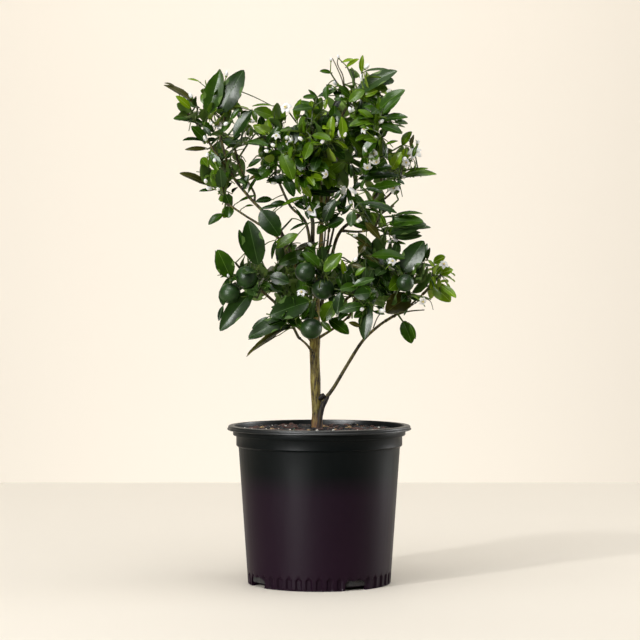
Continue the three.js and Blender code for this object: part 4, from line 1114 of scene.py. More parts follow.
# A knot's outline: how far out each ring stands, as a share of its length, and its radius where the
# knot is of the size given. Its foot stands that far from the trunk's middle, its tip as far as given
# and its size more, and it looks up by its lift. Its height is found among so many places tried.
KNOT_RINGS = {"shares": (0, 0.45, 0.75, 0.92, 1), "radii": (3.2, 2.6, 2.0, 1.3, 0.5), "size": 1.5,
              "foot": 3.5, "tip": 6.0, "lift": 0.25, "sides": 10, "tries": 80}
# The dark heel that the lowest bough stands on, and the cut stub over it: the places that each
# passes and its radius there. Their near-black bark is painted shade under the bough's foot.
HEEL = [
    ([(-1.6, -4.6, 209), (-0.4, -4.6, 222), (1.4, -4.3, 234), (4.2, -3.5, 244), (8.4, -2.7, 251),
      (12.2, -2.4, 257.6)], [4.8, 4.2, 4.1, 4.0, 3.4, 2.5]),
    ([(-1.0, -3.6, 254), (2.2, -4.4, 256.5), (5.0, -5.0, 258.6), (6.6, -5.3, 259.8), (7.0, -5.4, 260.1)],
     [3.4, 3.6, 3.5, 2.9, 1.6]),
]


def smooth_noise(along, around, seed, cells):
    """Steady noise from -1 to 1 that repeats once around a limb."""
    rows = int(along.max()) + 2
    grid = np.array([[draw(seed, i, k % cells) * 2 - 1 for k in range(cells + 1)] for i in range(rows)])
    i = along.astype(int)
    k = around.astype(int) % cells
    s, t = along - i, around - around.astype(int)
    s, t = s * s * (3 - 2 * s), t * t * (3 - 2 * t)
    low = grid[i, k] * (1 - t) + grid[i, k + 1] * t
    high = grid[i + 1, k] * (1 - t) + grid[i + 1, k + 1] * t
    return low * (1 - s) + high * s


def bark_ripple(count, sides, seed):
    """Long ridges that run up a limb, with slow lumps under them, as shares of its radius."""
    rows = np.arange(count)[:, None] * np.ones(sides)
    turns = np.arange(sides) / sides * np.ones((count, 1))
    wide, around = RIPPLE["ridge_sides"], RIPPLE["lumps_around"]
    ridges = smooth_noise(rows / RIPPLE["ridge_rings"], turns * sides / wide, seed, max(wide, sides // wide))
    lumps = smooth_noise(rows / RIPPLE["lump_rings"], turns * around, seed + SEEDS["lumps"], around)
    return 1 + RIPPLE["ridge"] * ridges + RIPPLE["lump"] * lumps


def add_rippled(mould, line, widths, sides, seed):
    mould.add(*tube_parts(line, widths, sides, bark_ripple(len(line), sides, seed)))


def bark_limb(mould, limb, radii, sides, seed, foot_flare):
    line = smooth_line(limb.points, BARK["step"])
    from_foot = np.linspace(0, 1, len(line)) * length_of(line)
    widths = widths_on(line, radii) * (1 + foot_flare * np.exp(-from_foot / BARK["collar"]))
    add_rippled(mould, line, widths, sides, seed)


def add_knots(mould, trunk):
    """Each knot is a low dome with its foot well inside the trunk."""
    for number, (height, degrees, size) in enumerate(KNOTS):
        shares = np.linspace(0, 1, KNOT_RINGS["tries"])
        place = min((curve_at(trunk.points, s) for s in shares), key=lambda p: abs(p[2] - height))
        turn = math.radians(degrees)
        outward = np.array([math.sin(turn), -math.cos(turn), KNOT_RINGS["lift"]])
        foot, tip = place + KNOT_RINGS["foot"] * outward, place + (KNOT_RINGS["tip"] + size) * outward
        line = [mix(foot, tip, share) for share in KNOT_RINGS["shares"]]
        radii = [radius * size / KNOT_RINGS["size"] for radius in KNOT_RINGS["radii"]]
        add_rippled(mould, line, radii, KNOT_RINGS["sides"], SEEDS["knot"] + number)


def make_bark(limbs):
    """The heel, whose near-black bark is painted shade, the trunk with its knots, and the boughs, each with
    its own bark.
    """
    heel, trunk, boughs = Mould(), Mould(), Mould()
    for number, (points, radii) in enumerate(HEEL):
        line = smooth_line(as_points(points), BARK["heel_step"])
        add_rippled(heel, line, widths_on(line, radii), BARK["heel_sides"], SEEDS["heel"] + number)
    bark_limb(trunk, limbs["trunk"], BARK_RADII, BARK["trunk_sides"], SEEDS["trunk"], 0.0)
    add_knots(trunk, limbs["trunk"])
    for number, (key, bough) in enumerate(BOUGHS.items()):
        radii = [radius * BARK["bough_taper"] for radius in bough[2:4]]
        bark_limb(boughs, limbs[key], radii, BARK["bough_sides"], SEEDS["bough"] + number,
                  BARK["bough_flare"])
    for name, mould, looks, nodes in (
            # Near-black bark on the heel and its stub: painted shade under the lowest bough.
            ("heel_painted_shade_bark", heel, ("070403", "1c120c", "453a20", 0.15), ()),
            ("trunk_bark", trunk, ("1e160a", "77662a", "a09446"), ["trunk"]),
            ("bough_bark", boughs, ("120f06", "463d18", "807634"), [f"bough_{key}" for key in BOUGHS])):
        build_mesh(name, mould, [young_citrus_bark(name, *looks)], nodes)


# ---------------------------------------------------------------- leaves

# Each tone of leaf: its colour, its deeper patches, its midrib and its underside.
# The grey-green tone is painted sheen: the grey that light gives a glossy blade.
TONES = {
    "dark": ("213d08", "122504", "35521a", "466420"),
    "mature": ("365808", "213c05", "4c6c20", "547226"),
    "mid": ("587a0c", "3a5808", "6a8a28", "708e30"),
    "young": ("7c9a12", "5a7c0c", "90a834", "86a034"),
    "flush": ("7c9c14", "5e820e", "a0b84a", "8ca83a"),
    "grey": ("384f26", "294018", "50683a", "627a3c"),
    "olive": ("454414", "30320e", "5c5c26", "666630"),
}
BLADE_ROWS = np.array([0.03, 0.12, 0.28, 0.5, 0.72, 0.88, 0.965])
# A blade begins beyond its stalk. Its fold along the midrib, its curl, the waves of its edge and its
# droop stand as shares, its thickness and its midrib in mm. Its columns stand at the edges, between
# them and the midrib, and at the midrib's own edges. Its outline is a bow, skewed towards its foot,
# made fuller and tapered towards its tip.
BLADE = {"start": 0.1, "between": 0.55, "rib_most": 0.3, "waves": 1.5, "fold": 0.16,
         "folded": (0.4, 1.5), "curl": 0.05, "wave": 0.05, "droop": 0.06, "thick": 0.35,
         "rib": 0.7, "rib_raise": 0.15, "skew": 0.95, "full": 0.65, "taper": 0.06}


def half_width(share):
    """Half the blade's width, as a share of its full width, from its foot to its pointed tip."""
    bow = np.sin(math.pi * share ** BLADE["skew"]) ** BLADE["full"]
    return 0.5 * bow * (1 - BLADE["taper"] * share)


def blade_corners(leaf, number):
    """The upper rows, six corners each, the lower rows, three each, and the blade's foot and tip."""
    start = BLADE["start"]
    shares = start + (1 - start) * BLADE_ROWS
    half = half_width(BLADE_ROWS) * leaf.width
    arch = LEAF["arch"] * leaf.length * 4
    droop = -BLADE["droop"] * leaf.length * mix(-1, 1, draw(number, DRAW["droop"]))
    rise = arch * shares * (1 - shares) + droop * (shares - start) ** 2
    spine = leaf.foot + np.outer(shares * leaf.length, leaf.axis) + np.outer(rise, leaf.up)
    rib = np.minimum(BLADE["rib"] / 2 / np.maximum(half, 0.01), BLADE["rib_most"])
    fold = BLADE["fold"] * mix(*BLADE["folded"], draw(number, DRAW["fold"]))
    wave = BLADE["wave"] * np.sin(2 * math.pi * (BLADE["waves"] * BLADE_ROWS + draw(number, DRAW["wave"])))

    def column(aside, drop):
        lift = (fold * np.abs(aside) + BLADE["curl"] * aside ** 2 + wave * aside * np.abs(aside)) * half
        return spine + np.outer(aside * half, leaf.side) + np.outer(lift - drop, leaf.up)

    between, thick, under_rib = BLADE["between"], BLADE["thick"], BLADE["thick"] + BLADE["rib_raise"]
    upper = [column(aside, 0) for aside in (-1, -between, -rib, rib, between, 1)]
    lower = [column(aside, drop) for aside, drop in ((-between, thick), (0, under_rib), (between, thick))]
    foot = leaf.foot + start * leaf.length * leaf.axis + arch * start * (1 - start) * leaf.up
    tip = leaf.tip + droop * (1 - start) ** 2 * leaf.up
    rows = [np.stack(columns, axis=1).reshape(-1, 3) for columns in (upper, lower)]
    return np.vstack([*rows, foot, tip])


def strip_faces(left, right, foot, tip):
    """Faces between two columns of corners, closed at the blade's foot and tip."""
    between = [(a, b, d, c) for a, b, c, d in zip(left, right, left[1:], right[1:])]
    return [(foot, right[0], left[0]), *between, (left[-1], right[-1], tip)]


def blade_faces():
    """Faces of every leaf alike, and the numbers of their materials: blade, midrib and underside."""
    rows = len(BLADE_ROWS)
    foot, tip = rows * 9, rows * 9 + 1
    top = [[row * 6 + k for row in range(rows)] for k in range(6)]
    low = [top[0], *([rows * 6 + row * 3 + k for row in range(rows)] for k in range(3)), top[5]]
    strips = [(0, top[k], top[k + 1]) for k in (0, 1, 3, 4)] + [(1, top[2], top[3])]
    strips += [(2, low[k + 1], low[k]) for k in range(4)]
    faces, numbers = [], []
    for number, left, right in strips:
        strip = strip_faces(left, right, foot, tip)
        faces.extend(strip)
        numbers.extend([number] * len(strip))
    return faces, numbers


def make_leaves(growths):
    """One piece for each tone of leaf. The first of them stands for the masses' solids."""
    faces, numbers = blade_faces()
    moulds = {tone: Mould() for tone in TONES}
    for number, leaf in enumerate((leaf for growth in growths for leaf in growth.leaves), 1):
        moulds[leaf.tone].add(blade_corners(leaf, number), faces, numbers)
    for tone, (colour, deeper, rib, under) in TONES.items():
        materials = [citrus_blade(tone, colour, deeper), citrus_midrib(tone, rib),
                     citrus_underside(tone, under)]
        nodes = [f"foliage_{key}" for key in KEYS] if tone == "dark" else []
        build_mesh(f"leaves_{tone}", moulds[tone], materials, nodes)


# ---------------------------------------------------------------- twigs and leaf stalks

# A leaf's stalk ends inside its blade and a little under it.
STALK = {"radii": (0.75, 0.6, 0.4), "sides": 4, "into": 1.5, "below": 0.3}
# Each kind of twig: the step between its rings, and its sides.
TWIG_FORMS = {"stem": (4, 10), "shoot": (6, 6), "fine": (8, 5), "spur": (6, 6)}


def add_leaf_stalk(mould, leaf):
    """A leaf stalk runs from its twig a little into the foot of the blade."""
    end = leaf.foot + STALK["into"] * BLADE["start"] * leaf.length * leaf.axis
    end = end + LEAF["arch"] * leaf.length * 4 * BLADE["start"] * leaf.up - STALK["below"] * leaf.up
    mould.add(*tube_parts([leaf.foot, mix(leaf.foot, end, 0.5), end], STALK["radii"], STALK["sides"]))


def make_twigs(growths):
    """The woody stems of the masses and of the open crown, and the green twigs and leaf stalks."""
    green, woody = Mould(), Mould()
    stems = [(TWIG["stem"], SEEDS["stem"] + number, growth.stem) for number, growth in enumerate(growths)]
    stems += [((foot, tip), SEEDS["front_stem"] + number, as_points(points))
              for number, (foot, tip, *points) in enumerate(FRONT_STEMS)]
    step, sides = TWIG_FORMS["stem"]
    for radii, seed, points in stems:
        line = smooth_line(points, step)
        add_rippled(woody, line, np.linspace(*radii, len(line)), sides, seed)
    for growth in growths:
        for kind, radii, twigs in (("shoot", TWIG["shoot"], growth.shoots),
                                   ("fine", FINE["radii"], growth.fine_twigs),
                                   ("spur", TWIG["spur"], growth.spurs)):
            step, sides = TWIG_FORMS[kind]
            for points in twigs:
                line = smooth_line(points, step)
                green.add(*tube_parts(line, np.linspace(*radii, len(line)), sides))
        for leaf in growth.leaves:
            add_leaf_stalk(green, leaf)
    build_mesh("stems", woody, [young_citrus_bark("stem_bark", "15120a", "3f3a1c", "666034")])
    build_mesh("twigs", green, [green_twig_bark("green_twig_bark", "2f3f16", "62762a")])


# ---------------------------------------------------------------- fruit and blossom

# A fruit is a little flat, with a dimple at its top and one at its foot: the depth of each as a share,
# and its spread in radians. One whose spur comes from the side hangs upright.
FRUIT_FORM = {"rows": 18, "columns": 28, "flat": 0.94, "dimple": (0.05, 0.35),
              "foot_dimple": (0.03, 0.25), "from_side": 0.3, "calyx_sides": 10}
# The calyx on a fruit: distance above its top and radius.
FRUIT_CALYX = [(-1.8, 0), (-1.6, 1.2), (-0.4, 1.6), (0.9, 3.4), (1.6, 3.0), (2.5, 0)]


def make_fruit(growths):
    peel, calyx = Mould(), Mould()
    turns = np.linspace(0, math.pi, FRUIT_FORM["rows"])
    (deep, wide), (foot_deep, foot_wide) = FRUIT_FORM["dimple"], FRUIT_FORM["foot_dimple"]
    dimple = 1 - deep * np.exp(-((turns / wide) ** 2))
    dimple = dimple - foot_deep * np.exp(-(((math.pi - turns) / foot_wide) ** 2))
    for centre, start, width in (fruit for growth in growths for fruit in growth.fruit):
        axis = unit(centre - start)
        axis = axis if abs(axis[2]) > FRUIT_FORM["from_side"] else -UP
        along = -np.cos(turns) * width / 2 * FRUIT_FORM["flat"] * dimple
        radius = np.sin(turns) * width / 2
        peel.add(*round_parts(centre, axis, list(zip(along, radius)), FRUIT_FORM["columns"]))
        top = -width / 2 * FRUIT_FORM["flat"]
        cap = [(top + above, wide) for above, wide in FRUIT_CALYX]
        calyx.add(*round_parts(centre, axis, cap, FRUIT_FORM["calyx_sides"]))
    build_mesh("fruit_peel", peel, [unripe_calamondin_peel()])
    build_mesh("fruit_calyx", calyx, [green_twig_bark("fruit_calyx_skin", "2f3f16", "5b6b2c")])


# A petal's length and width as shares of its flower's width. Its rows: how far along it each
# stands, and its half-width and rise there, as shares. It is hollow along its middle.
PETAL = {"count": 5, "length": 0.54, "width": 0.405, "hollow": 0.18, "thick": 0.5}
PETAL_ROWS = [(0.08, 0.35, 0.0), (0.3, 0.8, 0.10), (0.55, 1.0, 0.12), (0.8, 0.75, 0.02), (1.0, 0.12, -0.16)]
# An open flower looks up a little where it has no stalk, and turns to the front at the front.
FLOWER = {"up": 0.3, "to_front": 0.5, "calyx_sides": 8}
STAMENS = {"count": 10, "length": 0.2, "spread": 0.09, "bend": 0.8, "radii": (0.35, 0.35, 0.6),
           "sides": 4}
FLOWER_CALYX = [(-3.2, 0), (-2.8, 1.0), (-1.2, 2.1), (0.1, 2.3), (0.3, 0)]
# A bud's outline, as shares of its length and of half its width.
BUD_FORM = [(0, 0), (0.12, 0.55), (0.35, 0.92), (0.6, 1.0), (0.82, 0.72), (0.95, 0.3), (1.0, 0)]
# The cup under a bud: distance along it, radius, and what a share of the bud's width adds to that.
BUD_CUP = [(-1.2, 0, 0), (-0.8, 0.7, 0), (0.8, 0, 0.36), (1.8, 0, 0.4), (2.0, 0, 0)]
BUD_SIDES = {"petals": 10, "cup": 8}
# The radii of each kind of flower stalk, from its foot to its end.
FLOWER_STALKS = {"axil": (0.5, 0.45, 0.6), "flower": (0.7, 0.6, 0.6), "bud": (0.8, 0.7, 0.7)}
STALK_SIDES = 5
STALK_BEND = 0.6
# Blossom in the leaf axils: the share of leaves with it, the share of that which is open, the length
# of its stalk, the length of a bud and the width of a flower. Then how far it leans up and outward,
# the stalk's bow, how plump a bud is, how far a flower stands beyond its stalk, and what its number
# takes from its mass.
AXIL = {"share": 0.15, "open": 0.2, "stalk": (4, 9), "bud": (7, 11), "flower": (12, 16), "up": 0.6,
        "outward": 0.5, "bow": 0.4, "plump": 0.55, "beyond": 3, "numbers": 1000}
# Blossom on the front of the crown stands this far forward of it, and its buds look up this much.
FORWARD = 9
BUD_UP = 0.8
# Buds that stand in the leaf axils and at the tips on the front of the crown: x, z, width, length.
BUDS = [
    (-126, 698, 5, 9), (57, 692, 4, 12), (-157, 606, 5, 8), (-152, 588, 5, 7), (-142, 580, 5, 7),
    (-146, 630, 5, 7), (-91, 634, 5, 8), (-154, 552, 5, 8), (-137, 541, 5, 8), (-62, 600, 5, 8),
    (-71, 592, 5, 8), (-25, 607, 5, 9), (4, 603, 5, 9), (23, 627, 4, 9), (27, 614, 4, 12),
    (42, 648, 6, 10), (116, 583, 5, 9), (94, 675, 5, 9), (26, 724, 4, 6), (16, 720, 4, 6),
    (-37, 542, 7, 14), (33, 540, 6, 14), (46, 539, 6, 16), (62, 593, 4, 10), (74, 579, 4, 9),
]


def petal_parts(centre, axis, side, reach, width):
    """One petal: a strap, hollow along its middle, that bends back towards its tip."""
    other = np.cross(axis, side)
    upper = []
    for share, half, rise in PETAL_ROWS:
        spine = centre + share * reach * side + rise * reach * axis
        for aside in (-1, 0, 1):
            lift = PETAL["hollow"] * abs(aside) * half * width
            upper.append(spine + aside * half * width / 2 * other + lift * axis)
    upper = np.array(upper)
    back = len(upper)
    faces = []
    for a in (row * 3 + column for row in range(len(PETAL_ROWS) - 1) for column in range(2)):
        faces.append((a, a + 1, a + 4, a + 3))
        faces.append((back + a + 1, back + a, back + a + 3, back + a + 4))
    rim = [0, 3, 6, 9, 12, 13, 14, 11, 8, 5, 2, 1]
    faces.extend((a, b, back + b, back + a) for a, b in zip(rim, rim[1:] + rim[:1]))
    return np.vstack([upper, upper - PETAL["thick"] * axis]), faces


class Blossom:
    """Petals, stamens and calyxes while they are gathered, and how many named flowers there are."""

    def __init__(self):
        self.petals, self.stamens, self.calyx = Mould(), Mould(), Mould()
        self.number = 0

    def add_stalk(self, kind, start, bend, end):
        self.calyx.add(*tube_parts([start, bend, end], FLOWER_STALKS[kind], STALK_SIDES))

    def add_flower(self, centre, start, width, number=None):
        """A flower that looks away from where its stalk starts, with its own number for its draws."""
        if number is None:
            self.number += 1
            number = self.number
        out = centre - start
        axis = unit(out) if np.linalg.norm(out) > 1 else unit(TOWARDS_FRONT + FLOWER["up"] * UP)
        axis = unit(axis + FLOWER["to_front"] * TOWARDS_FRONT * (centre[1] < 0))
        side, other = across(axis)

        def outward(turn):
            return side * math.cos(turn) + other * math.sin(turn)

        for k in range(PETAL["count"]):
            way = outward(2 * math.pi * (k + draw(number, DRAW["petals"])) / PETAL["count"])
            self.petals.add(*petal_parts(centre, axis, way, PETAL["length"] * width, PETAL["width"] * width))
        for k in range(STAMENS["count"]):
            way = outward(2 * math.pi * k / STAMENS["count"])
            end = centre + STAMENS["length"] * width * axis + STAMENS["spread"] * width * way
            thread = [centre, mix(centre, end, STAMENS["bend"]), end]
            self.stamens.add(*tube_parts(thread, STAMENS["radii"], STAMENS["sides"]))
        self.calyx.add(*round_parts(centre, axis, FLOWER_CALYX, FLOWER["calyx_sides"]))

    def add_bud(self, foot, axis, width, length):
        form = [(along * length, radius * width / 2) for along, radius in BUD_FORM]
        cup = [(along, radius + share * width) for along, radius, share in BUD_CUP]
        self.petals.add(*round_parts(foot, axis, form, BUD_SIDES["petals"]))
        self.calyx.add(*round_parts(foot, axis, cup, BUD_SIDES["cup"]))

    def add_in_axils(self, growth):
        """Buds, and now and then a small open flower, in the axils of the outer leaves."""
        for i, leaf in enumerate(growth.leaves):
            drawn = {use: draw(growth.seed, i, DRAW[use]) for use in ("blossom", "stalk", "open", "size")}
            if drawn["blossom"] > AXIL["share"] or not growth.is_outside(leaf.foot):
                continue
            outward = unit(leaf.foot - growth.heart)
            axis = unit(unit(leaf.axis + AXIL["up"] * UP) + AXIL["outward"] * outward)
            foot = leaf.foot + mix(*AXIL["stalk"], drawn["stalk"]) * axis
            self.add_stalk("axil", leaf.foot, mix(leaf.foot, foot, 0.5) + AXIL["bow"] * UP, foot)
            if drawn["open"] < AXIL["open"]:
                width = mix(*AXIL["flower"], drawn["size"])
                number = AXIL["numbers"] * growth.seed + i
                self.add_flower(foot + AXIL["beyond"] * axis, foot, width, number)
            else:
                length = mix(*AXIL["bud"], drawn["size"])
                self.add_bud(foot, axis, AXIL["plump"] * length, length)


def fronts_of(growths, rows):
    """For each row: its place just before the crown, the nearest twig there, and the row's sizes."""
    for x, z, *sizes in rows:
        front = front_at(x, z)
        if front:
            place = front[1] + FORWARD * TOWARDS_FRONT
            yield place, nearest_of(*growths[front[0]].stretches(), place), sizes


def make_blossom(growths):
    blossom = Blossom()
    for growth in growths:
        for centre, start, width in growth.blossom:
            blossom.add_flower(centre, start, width)
        blossom.add_in_axils(growth)
    for place, start, (width,) in fronts_of(growths, SMALL_BLOSSOM):
        blossom.add_stalk("flower", start, mix(start, place, STALK_BEND), place)
        blossom.add_flower(place, start, width)
    for place, start, (width, length) in fronts_of(growths, BUDS):
        axis = unit(unit(place - start) + BUD_UP * UP)
        foot = place - 0.5 * length * axis
        blossom.add_stalk("bud", start, mix(start, foot, STALK_BEND), foot)
        blossom.add_bud(foot, axis, width, length)
    build_mesh("petals", blossom.petals, [citrus_petal()])
    build_mesh("stamens", blossom.stamens, [citrus_stamen()])
    build_mesh("calyxes", blossom.calyx, [green_twig_bark("flower_stalk_skin", "566f18", "8aa636")])


# ---------------------------------------------------------------- pot and potting mix

# Heights of the rows on the pot's wall, and which rows of its profile the flutes press in.
WALL_HEIGHTS = (4, 6, 8, 10, 11.5, 13, 14.5, 15.5, 16.5, 18, 22, 40, 80, 120, 160, 186)
FLUTED_ROWS = range(6, 18)
# The radii of the rim's bead, of its roll and of its inner edge.
RIM = {"bead": 1.3, "roll": 2.0, "edge": 1.1}
# Faces of the pot that meet at more than this angle show their edge.
SHARP_EDGE = 35


def arc(centre_r, centre_z, radius, start, end, steps):
    """Places on a round stretch of the pot's profile, its angles in degrees from outwards."""
    turns = np.radians(np.linspace(start, end, steps + 1))
    return [(centre_r + radius * math.cos(t), centre_z + radius * math.sin(t)) for t in turns]


def pot_profile():
    """The pot's outline from the middle of its underside, up its outside and down its inside."""
    p = POT
    lip_foot = p["height"] - 2 * p["lip"]
    slope = (p["body_top"] - p["foot"]) / (p["neck_foot"] - 4)
    bead, roll, edge = RIM["bead"], RIM["roll"], RIM["edge"]
    inner = p["wall"]
    return [
        (p["pad"], 0), (p["pad"] + 2, p["foot_ring"]), (p["ring_inner"] - 2, p["foot_ring"]),
        (p["ring_inner"], 0), (p["foot"] - 1.5, 0), (p["foot"] - 0.4, 0.6), (p["foot"], 2),
        *((p["foot"] + slope * (z - 2), z) for z in WALL_HEIGHTS),
        (p["body_top"] + 0.3, 188.3), (p["neck"] - 0.8, 189.6), (p["neck"], 190.6), (p["neck"], 203),
        (p["neck"] + 0.5, p["collar_foot"]), (p["collar"] - 0.6, p["collar_foot"] + 0.4),
        (p["collar"], p["collar_foot"] + 1.4), (p["collar"], lip_foot - 0.3),
        *arc(p["rim"] - bead, lip_foot + bead, bead, -90, 70, 8), (p["rim"] - 1.4, lip_foot + 2 * bead + 0.6),
        *arc(p["rim"] - 1.2 - roll, p["height"] - roll - 0.3, roll, 0, 80, 7),
        *arc(p["collar"] - inner + 1.2, p["height"] - edge, edge, 90, 170, 6),
        (p["collar"] - inner, lip_foot + 3), (p["collar"] - inner, p["collar_foot"] + 2.5),
        (p["neck"] - inner, p["collar_foot"]), (p["neck"] - inner, p["neck_foot"] + 1),
        (p["body_top"] - inner, p["neck_foot"] - 2), (p["foot"] - inner - 3, p["foot_ring"] + p["floor"]),
    ]


def flute_depth(turn, z):
    """How deep the wall is pressed in at a turn and height: upright flutes with round heads."""
    pitch = 2 * math.pi / FLUTE["count"]
    aside = abs((turn + pitch / 2) % pitch - pitch / 2) * POT["foot"] / (FLUTE["width"] / 2)
    head = FLUTE["height"] - FLUTE["width"] / 2
    over = max(0.0, z - head) / (FLUTE["width"] / 2)
    return FLUTE["depth"] * min(1.0, max(0.0, (FLUTE["edge"] - math.hypot(aside, over)) / FLUTE["soft"]))


def make_pot():
    profile = pot_profile()
    columns = FLUTE["count"] * FLUTE["columns"]
    turns = np.arange(columns) / columns * 2 * math.pi
    corners = []
    for row, (radius, z) in enumerate(profile):
        reach = radius - np.array([flute_depth(t, z) if row in FLUTED_ROWS else 0 for t in turns])
        heights = np.full(columns, float(z))
        corners.append(np.stack([reach * np.sin(turns), -reach * np.cos(turns), heights], axis=1))
    mould = Mould()
    mould.add(np.vstack([*corners, (0, 0, 0), (0, 0, profile[-1][1])]), ring_faces(len(profile), columns))
    pot = build_mesh("pot_shell", mould, [moulded_black_polyethylene()], ["pot"], SHARP_EDGE)
    cut_drains(pot)


def cut_drains(pot):
    """The drains take the corner of the foot out with arched blocks."""
    blocks = Mould()
    reaches = (DRAIN["inner"], POT["foot"] + 6)
    half, height, round_off = DRAIN["width"] / 2, DRAIN["height"], DRAIN["round_off"]
    arch = [(-half, -1), (half, -1), (half, height - round_off)]
    arch += arc(half - round_off, height - round_off, round_off, 0, 90, 6)[1:]
    arch += arc(-half + round_off, height - round_off, round_off, 90, 180, 6)
    count = len(arch)
    sides = [(k, (k + 1) % count, count + (k + 1) % count, count + k) for k in range(count)]
    for i in range(DRAIN["count"]):
        turn = math.radians(DRAIN["first"] + 360 / DRAIN["count"] * i)
        outward = np.array([math.sin(turn), -math.cos(turn), 0])
        aside = np.array([math.cos(turn), math.sin(turn), 0])
        corners = [reach * outward + x * aside + z * UP for reach in reaches for x, z in arch]
        blocks.add(corners, [tuple(reversed(range(count))), tuple(range(count, 2 * count)), *sides])
    cutter = bpy.data.objects.new("drain_blocks", blocks.mesh("drain_blocks"))
    bpy.context.collection.objects.link(cutter)
    cut = pot.modifiers.new("drains", "BOOLEAN")
    cut.operation = "DIFFERENCE"
    cut.solver = "EXACT"
    cut.object = cutter
    shown = pot.evaluated_get(bpy.context.evaluated_depsgraph_get())
    finished = bpy.data.meshes.new_from_object(shown)
    pot.modifiers.clear()
    pot.data = finished
    pot.data.set_sharp_from_angle(angle=math.radians(SHARP_EDGE))
    bpy.data.objects.remove(cutter)


# The top of the mix: its radius, its rings and columns of corners, how rough its crumbs are, how far it
# stands above the solid, its lumps' share of that roughness, the seed of its draws, the distances from
# the middle at which its heap has its heights, and how high it still is at the second of them.
MIX_TOP = {"radius": 115.3, "rings": 60, "columns": 160, "rough": 1.6, "lift": 0.6, "lump": 0.35,
           "seed": 7, "heap": (0, 80, 116), "shoulder": 0.7, "edge_angle": 25}
# Its slow lumps: radians for each mm and where they start, along x and along y, and lower ones that
# cross them, with their share.
MIX_WAVES = {"x": (0.31, 1.3), "y": (0.27, -0.4), "crossing": (0.6, 0.71, -0.53)}


def mix_height(x, y):
    """The height of the potting mix: lumpy, and a little heaped towards the trunk."""
    heights = (SOIL["middle"], SOIL["edge"] + MIX_TOP["shoulder"], SOIL["edge"])
    heap = np.interp(math.hypot(x, y), MIX_TOP["heap"], heights)
    (by_x, start_x), (by_y, start_y) = MIX_WAVES["x"], MIX_WAVES["y"]
    share, over_x, over_y = MIX_WAVES["crossing"]
    lumps = (math.sin(x * by_x + start_x) * math.sin(y * by_y + start_y)
             + share * math.sin(x * over_x + y * over_y))
    return heap + MIX_TOP["lift"] + MIX_TOP["lump"] * MIX_TOP["rough"] * lumps


def make_potting_mix():
    rings, columns = MIX_TOP["rings"], MIX_TOP["columns"]
    corners = [(0, 0, mix_height(0, 0))]
    for i, k in product(range(1, rings + 1), range(columns)):
        radius = MIX_TOP["radius"] * i / rings
        turn = 2 * math.pi * k / columns
        x, y = radius * math.cos(turn), radius * math.sin(turn)
        crumb = (draw(MIX_TOP["seed"], i, k) - 0.5) * MIX_TOP["rough"]
        corners.append((x, y, mix_height(x, y) + crumb))
    faces = [(0, 1 + k, 1 + (k + 1) % columns) for k in range(columns)]
    for i, k in product(range(rings - 1), range(columns)):
        ring, n = 1 + i * columns, (k + 1) % columns
        faces.append((ring + k, ring + columns + k, ring + columns + n, ring + n))
    mould = Mould()
    mould.add(corners, faces)
    build_mesh("potting_mix_top", mould, [moist_mix_in_painted_shade()],
               smooth_to=MIX_TOP["edge_angle"])


# The bits that lie on the mix: colour, roughness, how many, their shortest and longest size, whether
# they are puffed up, so about as wide as long, and whether they are smooth, as beads of feed are.
Bits = namedtuple("Bits", "colour roughness count small large puffed smooth")
BITS = {
    "red_bark_chips": Bits("4e281c", 0.9, 240, 4, 13, False, False),
    "dark_bark_chips": Bits("0c0706", 0.95, 340, 4, 12, False, False),
    "pale_wood_chips": Bits("c2a070", 0.85, 84, 3, 9, False, False),
    "perlite": Bits("ece8dc", 0.9, 34, 2.4, 4.6, True, False),
    "feed_beads": Bits("4b8a62", 0.4, 9, 2.4, 3.2, True, True),
}
BIT_ROWS = [(-1, 0.0), (-0.8, 0.55), (-0.3, 0.95), (0.35, 1.0), (0.8, 0.6), (1, 0.0)]
# A bit's sides, the room it keeps from the rim and the trunk, its half-width and half-height as shares
# of its length, what a puffed one's are divided by, how high it lies, how its place spins it, how far
# it tilts, how far its corners are jolted, and the angles of the edges that show on smooth and on
# broken ones.
BIT_FORM = {"sides": 7, "rim": 7, "middle": 0.012, "width": (0.25, 0.45), "height": (0.12, 0.25),
            "puffed": (2.1, 2.2), "raised": 0.6, "spin": 7, "tilt": 0.5, "jolt": (0.8, 0.4),
            "smooth": 80, "broken": 20}


def make_bits():
    form, faces = round_parts(np.zeros(3), np.array([1.0, 0, 0]), BIT_ROWS, BIT_FORM["sides"])
    least, range_of = BIT_FORM["jolt"]
    reach = MIX_TOP["radius"] - BIT_FORM["rim"]
    for kind, (name, bits) in enumerate(BITS.items()):
        mould = Mould()
        for i in range(bits.count):
            drawn = {use: draw(kind, i, DRAW[f"bit_{use}"])
                     for use in ("place", "turn", "size", "tilt", "width", "height")}
            radius = reach * math.sqrt(mix(BIT_FORM["middle"], 1, drawn["place"]))
            turn = 2 * math.pi * drawn["turn"]
            x, y = radius * math.cos(turn), radius * math.sin(turn)
            size = mix(bits.small, bits.large, drawn["size"] ** 2)
            spun, tilt = BIT_FORM["spin"] * turn, BIT_FORM["tilt"] * (drawn["tilt"] - 0.5)
            along = unit(np.array([math.cos(spun), math.sin(spun), tilt]))
            side, other = across(along)
            shape = [size / 2, *(size * mix(*BIT_FORM[use], drawn[use]) for use in ("width", "height"))]
            if bits.puffed:
                shape[1:] = (size / part for part in BIT_FORM["puffed"])
            centre = np.array([x, y, mix_height(x, y) + BIT_FORM["raised"] * shape[2]])
            jolt = 1.0 if bits.smooth else np.array(
                [[least + range_of * draw(kind, i, c, a) for a in range(3)] for c in range(len(form))])
            local = form * jolt
            mould.add(centre + sum(np.outer(local[:, a] * shape[a], way)
                                   for a, way in enumerate((along, side, other))), faces)
        build_mesh(name, mould, [potting_bit(name, bits.colour, bits.roughness)],
                   smooth_to=BIT_FORM["smooth" if bits.smooth else "broken"])


# ---------------------------------------------------------------- studio

